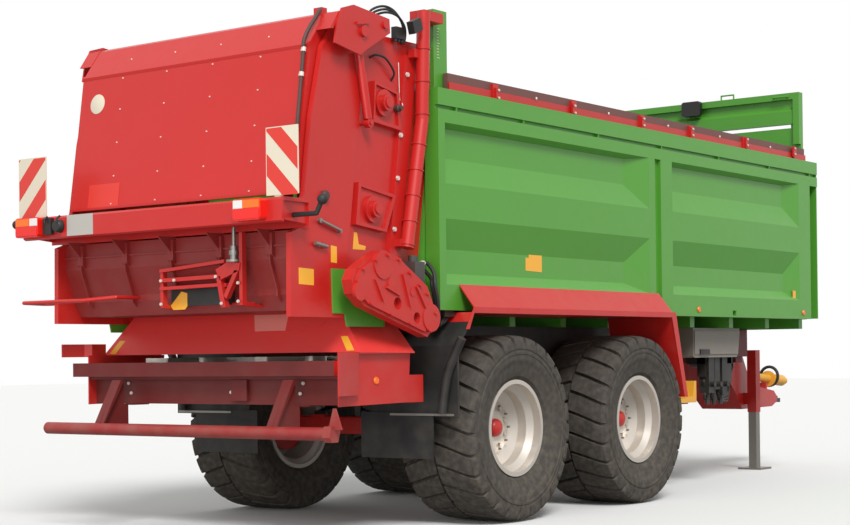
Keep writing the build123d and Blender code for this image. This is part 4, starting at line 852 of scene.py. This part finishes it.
class SPREADER_OT_lever_frame(bpy.types.Operator):
    """Make the open frame with its crank spindle on the hood wall"""
    bl_idname = "spreader.lever_frame"
    bl_label = "Lever frame"

    def execute(self, context):
        shape = bmesh.new()
        back, crank_x, crank_y = -2.286, -2.262, -0.628
        for y, top in ((0.016, 1.82), (-0.714, 2.050)):
            add_prism(shape, along(y, ((-2.236, top), (-2.276, top), (-2.276, 1.575), (-2.0732, 1.560),
                                       (-2.082, 1.575), (-2.236, 1.600))), (0, 0.028, 0))
        for (y0, z0), (y1, z1), deep in (((0.040, 1.825), (-0.560, 1.868), 0.011),
                                         ((0.040, 1.760), (-0.505, 1.770), 0.013),
                                         ((0.040, 1.706), (-0.505, 1.714), 0.011)):
            bar = ((y0, z0 - deep), (y1, z1 - deep), (y1, z1 + deep), (y0, z0 + deep))
            add_prism(shape, across(back, bar), (0.045, 0, 0))
        for link in (
            ((-0.480, 1.815), (-0.590, 1.862), (-0.700, 1.850), (-0.690, 1.800), (-0.520, 1.745)),
            ((-0.485, 1.770), (-0.520, 1.770), (-0.568, 1.565), (-0.528, 1.565)),
            ((-0.650, 1.805), (-0.685, 1.800), (-0.575, 1.620), (-0.552, 1.640)),
        ):
            add_prism(shape, across(back + 0.002, link), (0.040, 0, 0))
        add_box(shape, ahead(-2.150, -0.700, 1.580), ahead(-2.140, 0.020, 1.598))
        for y in (-0.545, 0.025):
            add_box(shape, ahead(crank_x, y - 0.010, 1.700), ahead(-2.150, y + 0.010, 1.725))
        made = build("open_lever_frame", shape, "red_paint")
        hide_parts("lever_frame")
        pocket = add_box(bmesh.new(), ahead(-2.200, -0.500, 1.585), ahead(-2.120, 0.016, 1.712))
        build("lever_pocket", pocket, "black_metal")
        shape = bmesh.new()
        for low, high, radius, sides in ((1.845, 2.088, 0.012, 16), (1.860, 1.875, 0.052, 20),
                                         (1.875, 1.905, 0.026, 20), (1.905, 1.935, 0.034, 20),
                                         (1.935, 1.965, 0.024, 20)):
            add_tube(shape, [ahead(crank_x, crank_y, low), ahead(crank_x, crank_y, high)], radius, sides)
        build("crank_spindle", shape, "worn_steel", 40)
        sign = ((-0.085, 1.685), (0.020, 1.590), (-0.005, 1.562), (-0.115, 1.562), (-0.138, 1.584),
                (-0.138, 1.672))
        flat("hood_triangle", "sticker_yellow", [across(-2.2005, sign)], (-1, 0, 0), 0.003)
        bolts = ((0.020, 1.758), (-0.105, 1.758), (-0.490, 1.768), (-0.540, 1.590), (0.020, 1.600),
                 (-0.690, 1.600), (-0.690, 1.72))
        heads("lever_bolts", [(point, (-1, 0, 0)) for point in across(back, bolts)], 0.012, 0.010)
        return {"FINISHED"}


class SPREADER_OT_side_trim(bpy.types.Operator):
    """Make the fasteners, stickers, hoses and small parts of the spreader's sides"""
    bl_idname = "spreader.side_trim"
    bl_label = "Side trim"

    def execute(self, context):
        places = []
        for name, side in SIDES:
            for x, z in ((-1.026, 3.188), (-1.110, 2.759), (-1.150, 2.458), (-1.194, 2.103)):
                places.append((side_point(f"spreader_side_{name}", side, x, z), (0, side, 0)))
        heads("side_bolts", places, context.scene.spreader_trim.bolt, 0.013)

        def on_side(x, z):
            return side_point("spreader_side_right", -1, x, z)

        stickers = []
        for outline in (
            ((-1.590, 2.064), (-1.559, 2.064), (-1.542, 1.986), (-1.467, 1.976), (-1.473, 1.950),
             (-1.605, 1.950)),
            ((-1.867, 1.963), (-1.807, 1.957), (-1.807, 1.847), (-1.867, 1.852)),
            ((-2.190, 1.806), (-2.043, 1.800), (-2.043, 1.695), (-2.190, 1.700)),
        ):
            x, z = (sum(values) / len(outline) for values in zip(*outline))
            stickers.append(along(on_side(x, z).y, outline))
        flat("side_stickers", "sticker_yellow", stickers, (0, -1, 0))
        self.make_pins(on_side)
        self.make_lines(on_side)
        self.make_top_parts()
        return {"FINISHED"}

    def make_pins(self, on_side):
        """The locking pins, the rubber stop and the hose's fitting."""
        shape = bmesh.new()
        out = Vector((0, -0.022, 0))
        start, end = on_side(-1.99, 2.118), on_side(-1.79, 2.062)
        add_tube(shape, [start + out, end + out], 0.011)
        add_tube(shape, [start + out * 1.2, start - out * 0.1], 0.016)
        add_tube(shape, [end + out * 1.2, end - out * 0.1], 0.014)
        start, end = on_side(-2.05, 1.968), on_side(-1.93, 1.950)
        eye = start.lerp(end, 0.4)
        add_tube(shape, [start + out, end + out], 0.014)
        add_tube(shape, [eye + out, eye - out * 0.1], 0.018)
        build("side_pins", shape, "worn_steel", 40)
        shape = bmesh.new()
        add_lathe(shape, [(-0.004, 0.034), (0.02, 0.034), (0.03, 0.026), (0.032, 0.0)],
                  on_side(-1.93, 2.285), (0, -1, 0), turns=24)
        add_lathe(shape, [(-0.03, 0.026), (0.035, 0.026), (0.042, 0.018), (0.06, 0.016), (0.06, 0.0)],
                  on_side(-1.154, 2.938), (0, -1, 0), turns=20)
        build("side_stops", shape, "brown_rubber", 40)

    def make_lines(self, on_side):
        """The hoses over the top, the short hose on the side and the two cables."""
        bend = (            # a place on the bend, and how far the next hose stands ahead and lower there
            (-1.46, -1.118, 3.50, 1, 0), (-1.42, -1.128, 3.575, 1, 0.6), (-1.30, -1.135, 3.622, 1, 0.8),
            (-1.18, -1.135, 3.612, 1, 0.7), (-1.08, -1.130, 3.545, 0.6, 0.4),
            (-1.055, -1.122, 3.47, 0.6, 0), (-1.06, -1.112, 3.40, 0.6, 0),
        )
        lines = [[ahead(x + shift * forward, y, z - shift * lower) for x, y, z, forward, lower in bend]
                 for shift in (0.0, 0.022, 0.044)]
        hoses("top_hoses", lines, 0.0085)
        top, low = on_side(-1.40, 3.26), on_side(-1.17, 3.13)
        line = [top + Vector((0, 0.004, 0)), top + Vector((0.03, -0.03, 0.02)),
                *along(low.y - 0.04, ((-1.28, 3.27), (-1.20, 3.21))),
                low + Vector((0, -0.03, 0.04)), low + Vector((0.004, 0.004, 0))]
        hoses("side_hose", [line], 0.0075)
        cable = [on_side(-1.083, z) + Vector((0.004 * sin(z * 9), -0.006, 0)) for z in
                 (3.26, 3.20, 3.14, 3.08, 3.02, 2.97)]
        cable = [cable[0] + Vector((0.01, 0.010, 0.01)), *cable, cable[-1] + Vector((-0.01, 0.010, -0.01))]
        cord = [ahead(x, POST_FACE - gap, z) for x, gap, z in
                ((-0.752, 0.003, 3.40), (-0.765, 0.004, 3.30), (-0.785, 0.004, 3.18), (-0.800, 0.004, 3.05))]
        hoses("side_cables", [cable, cord], 0.0035, 24, "pale_fastener")

    def make_top_parts(self):
        """The valve box on the side's top, and the scale and knob on the gate's post."""
        tilted = [(-0.062, 0.022), (0.030, 0.062), (0.058, -0.018), (-0.034, -0.060)]
        shape = bmesh.new()
        add_prism(shape, along(-1.235, [(x - 1.030, z + 3.515) for x, z in tilted]), (0, 0.055, 0))
        add_box(shape, ahead(-1.01, -1.20, 3.50), ahead(-0.885, -1.185, 3.53))
        add_box(shape, ahead(-1.18, -1.16, 3.42), ahead(-1.08, -1.115, 3.50))
        for x in (-1.165, -1.13, -1.095):
            add_tube(shape, [ahead(x, -1.14, 3.40), ahead(x, -1.14, 3.425)], 0.013, sides=10)
        build("valve_box", shape, "black_metal", 40)
        shape = bmesh.new()
        back, foot, step = -0.660, 3.355, 0.0208
        for index in range(11):
            z = foot + index * step
            wide = 0.030 if index % 5 == 0 else 0.022
            add_box(shape, ahead(back, POST_FACE - 0.002, z),
                    ahead(back + wide, POST_FACE + 0.001, z + 0.005))
        build("level_scale", shape, "sign_white")
        shape = bmesh.new()
        add_lathe(shape, [(-0.003, 0.014), (0.018, 0.014), (0.018, 0.028), (0.030, 0.031), (0.042, 0.024),
                          (0.046, 0.0)], ahead(-0.800, POST_FACE, 3.035), (0, -1, 0), turns=24)
        build("post_knob", shape, "pale_fastener", 50)


class SPREADER_OT_box_trim(bpy.types.Operator):
    """Make the brackets, reflectors, stickers and webs of the load box"""
    bl_idname = "spreader.box_trim"
    bl_label = "Box trim"

    def execute(self, context):
        strip_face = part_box("board_strips")[1].y
        head = strip_face + 0.016           # the brackets' outer face
        brackets, webs = bmesh.new(), bmesh.new()
        bolts, dots, spots = [], [], []
        holders = ((-0.02, 3.159), (1.05, 3.162), (2.15, 3.175), (3.02, 3.175), (4.10, 3.185), (5.14, 3.195))
        for x, z in holders:
            add_pair(brackets, ahead(x - 0.024, strip_face - 0.004, z - 0.050),
                     ahead(x + 0.024, head, z + 0.048))
        for x in (-0.60, 0.265, 1.349, 2.391, 3.447, 4.489, 5.40):
            add_pair(webs, ahead(x - 0.005, WALL_FACE - 0.030, 2.962),
                     ahead(x + 0.005, WALL_FACE - 0.002, 3.000))
        for side in (-1, 1):
            bolts += [(ahead(x, side * head, z + rise), (0, side, 0))
                      for x, z in holders for rise in (0.030, -0.026)]
            dots += [(ahead(x, side * strip_face, 3.192), (0, side, 0))
                     for x in (0.52, 1.60, 2.60, 3.57, 4.62)]
            spots += [(ahead(x, side * WALL_FACE, 1.610), (0, side, 0)) for x in (3.015, 5.203)]
        build("board_brackets", brackets, "red_paint")
        build("rail_webs", webs, "green_paint")
        heads("board_bolts", bolts, 0.011, 0.009)
        heads("board_dots", dots, 0.012, 0.006, sides=12, crown=0.5)
        reflectors("side_reflectors", spots)
        large = ((0.395, 2.012), (0.575, 2.004), (0.575, 1.862), (0.350, 1.867), (0.350, 1.965),
                 (0.395, 1.965))
        small = ((5.00, 1.825), (5.115, 1.820), (5.115, 1.722), (5.00, 1.727))
        flat("wall_stickers", "sticker_yellow",
             [along(side_point("wall_right", -1, x, z).y, outline)
              for outline, x, z in ((large, 0.47, 1.93), (small, 5.06, 1.77))], (0, -1, 0))
        return {"FINISHED"}


class SPREADER_OT_deck_trim(bpy.types.Operator):
    """Make the strips, panel and bolts of the disc housing and the hood wall"""
    bl_idname = "spreader.deck_trim"
    bl_label = "Deck trim"

    def execute(self, context):
        on_roof, face = slanted(ahead(-1.700, 0, 1.2615), ahead(-1.610, 0, 1.538))
        strip = ((1.037, 1.366), (1.095, 1.368), (1.176, 1.272), (1.112, 1.270))
        flat("deck_strips", "sticker_yellow",
             [[on_roof(side * y, z) for y, z in strip] for side in (-1, 1)], face, 0.002)
        panel_thick = 0.004
        # the raised panel takes the lighter red of painted sunlight, a painted highlight on the roof
        panel = ((0.10, 1.530), (-0.246, 1.409), (-0.80, 1.400), (-0.930, 1.505), (-0.905, 1.530))
        flat("deck_panel", "painted_sunlit_red_paint", [[on_roof(y, z) for y, z in panel]], face, panel_thick)
        sheet = ((-0.213, 1.527), (-0.532, 1.525), (-0.532, 1.413), (-0.250, 1.413))
        flat("deck_sheet", "faded_sheet", [[on_roof(y, z, panel_thick) for y, z in sheet]], face)
        tray = surface("disc_deck", ahead(-2.6, 0.811, 1.0), (1, 0, 0)).x
        places = [((tray, y, z), (-1, 0, 0)) for y, z in
                  ((0.811, 0.986), (0.838, 1.056), (-0.179, 0.994), (-0.811, 0.986), (-0.838, 1.056))]
        heads("deck_bolts", places, 0.014, 0.010)
        reflectors("deck_reflectors",
                   [(side_point("disc_deck", side, -1.503, 1.067), (0, side, 0)) for side in (-1, 1)])
        strips, liners = bmesh.new(), bmesh.new()
        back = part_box("mudflaps")[0].x
        add_pair(strips, (back - 0.005, 0.78, 0.806), (back + 0.002, 1.345, 0.822))
        add_pair(liners, ahead(-0.64, 0.655, 1.19), ahead(2.45, 0.663, 1.457))
        edge = ((1.440, 1.350), (1.385, 1.252), (1.318, 1.114), (1.282, 0.953), (1.266, 0.828))
        rolls = [[(back - 0.028, side * y, z) for y, z in edge] for side in (-1, 1)]
        build("mudflap_strips", strips, "worn_steel")
        build("wheel_liners", liners, "black_rubber")
        hoses("mudflap_rolls", rolls, 0.032)
        return {"FINISHED"}


class SPREADER_OT_drive_trim(bpy.types.Operator):
    """Make the bolts of the floor drive and the hoses of its motor"""
    bl_idname = "spreader.drive_trim"
    bl_label = "Drive trim"

    def execute(self, context):
        places = [(side_point("floor_drive_case", -1, x, z), (0, -1, 0)) for x, z in
                  ((-1.80, 1.80), (-1.68, 1.865), (-1.55, 1.90), (-1.42, 1.875), (-1.30, 1.79), (-1.19, 1.71),
                   (-1.10, 1.65), (-1.02, 1.52), (-1.09, 1.40), (-1.30, 1.45), (-1.50, 1.505),
                   (-1.72, 1.575))]
        heads("drive_bolts", places, 0.013, 0.012, material="red_casting")
        shape = bmesh.new()
        lines = []
        for y, z, shift in ((-1.215, 1.875, 0.0), (-1.165, 1.845, 0.03)):
            add_tube(shape, [ahead(-1.004, y, z), ahead(-0.972, y, z)], 0.017, sides=6)
            add_tube(shape, [ahead(-0.974, y, z), ahead(-0.955, y, z)], 0.013)
            lines.append([ahead(-0.960, y, z), ahead(-0.935, y - 0.01, z - 0.005),
                          ahead(-0.915 + shift, y - 0.045, z - 0.07), ahead(-0.935 + shift, y - 0.07, 1.72),
                          ahead(-0.915 + shift, y - 0.075, 1.62), ahead(-0.870 + shift, y - 0.05, 1.49),
                          ahead(-0.800 + shift, y, 1.445),
                          *along(-1.19, ((-0.730 + shift, 1.47), (-0.700 + shift, 1.52)))])
        build("motor_fittings", shape, "pale_fastener", 40)
        hoses("motor_hoses", lines, context.scene.spreader_trim.hose, 60)
        block = add_box(bmesh.new(), ahead(-0.745, -1.225, 1.505), ahead(-0.625, -1.155, 1.553))
        build("hose_block", block, "black_metal")
        return {"FINISHED"}


class SPREADER_OT_front_trim(bpy.types.Operator):
    """Make the valve block, hoses and small parts at the front"""
    bl_idname = "spreader.front_trim"
    bl_label = "Front trim"

    def execute(self, context):
        inner, wall_top = 1.1305, 3.105
        ends = bmesh.new()
        add_pair(ends, ahead(5.555, inner, 1.556), ahead(5.568, WALL_FACE - 0.005, wall_top))
        add_pair(ends, ahead(5.260, inner, 1.600), ahead(5.560, inner + 0.0055, wall_top))
        build("wall_ends", ends, "green_paint")
        low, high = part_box("toolbox")
        latch = add_box(bmesh.new(), low + Vector((0.10, 0.06, 0.03)), low + Vector((0.28, -0.012, 0.075)))
        build("toolbox_latch", latch, "black_plastic")
        long = high.x - low.x

        def under(share, inner, drop):
            """A point below the toolbox, at a share of its length and inwards from its outer face."""
            return Vector((low.x + share * long, low.y + 0.05 + inner, low.z - drop))

        bank = bmesh.new()
        for back, front, drop, inner, depth in (
            (0.38, 0.96, 0.060, 0.02, 0.20), (0.40, 0.52, 0.330, 0.00, 0.10), (0.55, 0.66, 0.300, 0.01, 0.12),
            (0.69, 0.80, 0.350, 0.00, 0.10), (0.83, 0.94, 0.240, 0.02, 0.11), (0.38, 0.90, 0.180, 0.03, 0.08),
        ):
            add_box(bank, under(back, inner, drop), under(front, inner + depth, -0.004))
        for share in (0.46, 0.60, 0.745):
            add_tube(bank, [under(share, -0.035, 0.25), under(share, 0.05, 0.25)], 0.024, 16)
            add_tube(bank, [under(share, 0.05, 0.44), under(share, 0.05, 0.28)], 0.021, 16)
        build("valve_bank", bank, "black_metal", 30)
        lines = []
        for index in range(5):
            start = under(0.45 + 0.11 * index, 0.07, 0.17)
            lines.append([start, start + Vector((0.06, 0.02, -0.10)),
                          ahead(5.20 + 0.03 * index, -0.420, 0.98 + 0.03 * index),
                          ahead(5.46 + 0.02 * index, -0.300, 1.16 + 0.03 * index),
                          ahead(5.50 + 0.02 * index, -0.290, 1.552)])
        for index in range(3):
            start = under(0.46 + 0.14 * index, 0.06, 0.30)
            lines.append([start, start + Vector((0.05, 0.03, -0.09)),
                          ahead(5.25, -0.380, 0.80 - 0.03 * index), ahead(5.48, -0.285, 0.92 - 0.05 * index),
                          ahead(5.78, -0.170, 0.99 - 0.03 * index)])
        hoses("valve_bank_hoses", lines, context.scene.spreader_trim.hose, 60)
        shape = bmesh.new()
        around = ahead(7.05, 0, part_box("drive_shaft")[0].z + 0.115)
        ring, lean = 0.105, 0.004
        turn = [around + Vector((lean * sin(a), ring * cos(a), ring * sin(a))) for a in steps_round(28)]
        add_tube(shape, turn, 0.017, 10, closed_ring=True)
        build("shaft_ring", shape, "black_rubber", smooth=50)
        return {"FINISHED"}


class SPREADER_OT_stage(bpy.types.Operator):
    """Set the floor, the light and the camera"""
    bl_idname = "spreader.stage"
    bl_label = "Stage"

    def execute(self, context):
        settings = context.scene.spreader_stage
        shape = bmesh.new()
        bmesh.ops.create_grid(shape, x_segments=1, y_segments=1, size=60)
        mesh = closed(shape, "floor_stage")
        ground = bpy.data.objects.new("floor_stage", mesh)
        context.scene.collection.objects.link(ground)
        mesh.materials.append(floor_material(settings.floor))
        context.scene.world = sky_world(settings.sky)
        sun = add_light(context.scene, "main_light", "SUN", settings.sun)
        sun.data.angle = 0.35
        sun.rotation_euler = (radians(46), 0, radians(-42))
        fill = add_light(context.scene, "rear_light", "AREA", settings.rear)
        fill.data.shape = "RECTANGLE"
        fill.data.size, fill.data.size_y = 6.0, 2.0
        aim = Vector((6.4, 3.0, 0.2)).to_track_quat("-Z", "Y").to_matrix().to_4x4()
        fill.matrix_world = Matrix.Translation(ahead(-8.0, -3.0, 1.4)) @ aim
        make_camera(context.scene)
        context.scene.view_settings.view_transform = "Standard"
        return {"FINISHED"}


def floor_material(seen):
    """Pale to the camera and grey to the light, so that the floor doesn't brighten the machine."""
    material = bpy.data.materials.new("pale_floor")
    material.use_nodes = True
    tree = material.node_tree
    path = add_node(tree, "ShaderNodeLightPath")
    tint = add_node(tree, "ShaderNodeMix", {
        "Factor": path.outputs["Is Camera Ray"], "A": (0.35, 0.35, 0.35, 1), "B": (*seen, 1)},
        data_type="RGBA")
    feed(tree.nodes["Principled BSDF"], {"Roughness": 0.9, "Base Color": tint.outputs["Result"]})
    return material


def sky_world(strength):
    """Even light, with a white background to the camera and in reflections."""
    world = bpy.data.worlds.new("studio")
    world.use_nodes = True
    tree = world.node_tree
    white = (1, 1, 1, 1)
    light = feed(tree.nodes["Background"], {"Color": white, "Strength": strength})
    seen = add_node(tree, "ShaderNodeBackground", {"Color": white})
    path = add_node(tree, "ShaderNodeLightPath").outputs
    either = reckon(tree, "MAXIMUM", path["Is Camera Ray"], path["Is Glossy Ray"])
    mix = add_node(tree, "ShaderNodeMixShader", {0: either, 1: light.outputs[0], 2: seen.outputs[0]})
    feed(tree.nodes["World Output"], {"Surface": mix.outputs[0]})
    return world


def add_light(scene, name, kind, energy):
    """A light of the scene."""
    lamp = bpy.data.lights.new(name, kind)
    lamp.energy = energy
    made = bpy.data.objects.new(name, lamp)
    scene.collection.objects.link(made)
    return made


def make_camera(scene):
    """The camera stands behind and to the right, low down and far off."""
    yaw, pitch, roll = 0.644, 0.005, -0.012
    look = Vector((cos(yaw) * cos(pitch), sin(yaw) * cos(pitch), sin(pitch)))
    right = Vector((sin(yaw), -cos(yaw), 0))
    up = right.cross(look)
    sideways = cos(roll) * right + sin(roll) * up
    upward = cos(roll) * up - sin(roll) * right
    lens = bpy.data.cameras.new("camera")
    camera = bpy.data.objects.new("camera", lens)
    scene.collection.objects.link(camera)
    turn = Matrix((sideways, upward, -look)).transposed().to_4x4()
    camera.matrix_world = Matrix.Translation(ahead(-10.446, -8.309, 1.227)) @ turn
    lens.sensor_width = 36
    lens.lens = 72.11
    lens.shift_x = 0.00294
    lens.shift_y = 0.1003
    lens.clip_end = 200
    scene.camera = camera


class SPREADER_PT_panel(bpy.types.Panel):
    """Sizes, colours and steps of the dressing"""
    bl_label = "Spreader"
    bl_idname = "SPREADER_PT_panel"
    bl_space_type = "VIEW_3D"
    bl_region_type = "UI"
    bl_category = "Spreader"

    def draw(self, context):
        layout = self.layout
        for group in GROUPS:
            box = layout.box()
            settings = getattr(context.scene, group)
            for name in settings.__annotations__:
                box.prop(settings, name)
        for operator in OPERATORS:
            layout.operator(operator.bl_idname)


GROUPS = {
    "spreader_paint": SpreaderPaint,
    "spreader_wheels": SpreaderWheels,
    "spreader_trim": SpreaderTrim,
    "spreader_stage": SpreaderStage,
}
OPERATORS = (
    SPREADER_OT_paint,
    SPREADER_OT_tyres,
    SPREADER_OT_hubs,
    SPREADER_OT_flap_trim,
    SPREADER_OT_board_stripes,
    SPREADER_OT_lamps,
    SPREADER_OT_lever_frame,
    SPREADER_OT_side_trim,
    SPREADER_OT_box_trim,
    SPREADER_OT_deck_trim,
    SPREADER_OT_drive_trim,
    SPREADER_OT_front_trim,
    SPREADER_OT_stage,
)


def register():
    for cls in (*GROUPS.values(), *OPERATORS, SPREADER_PT_panel):
        bpy.utils.register_class(cls)
    for name, cls in GROUPS.items():
        setattr(bpy.types.Scene, name, bpy.props.PointerProperty(type=cls))


def unregister():
    for name in GROUPS:
        delattr(bpy.types.Scene, name)
    for cls in reversed((*GROUPS.values(), *OPERATORS, SPREADER_PT_panel)):
        bpy.utils.unregister_class(cls)


def main():
    register()
    for operator in OPERATORS:
        name = operator.bl_idname.split(".")[1]
        getattr(bpy.ops.spreader, name)()


if __name__ == "__main__":
    main()
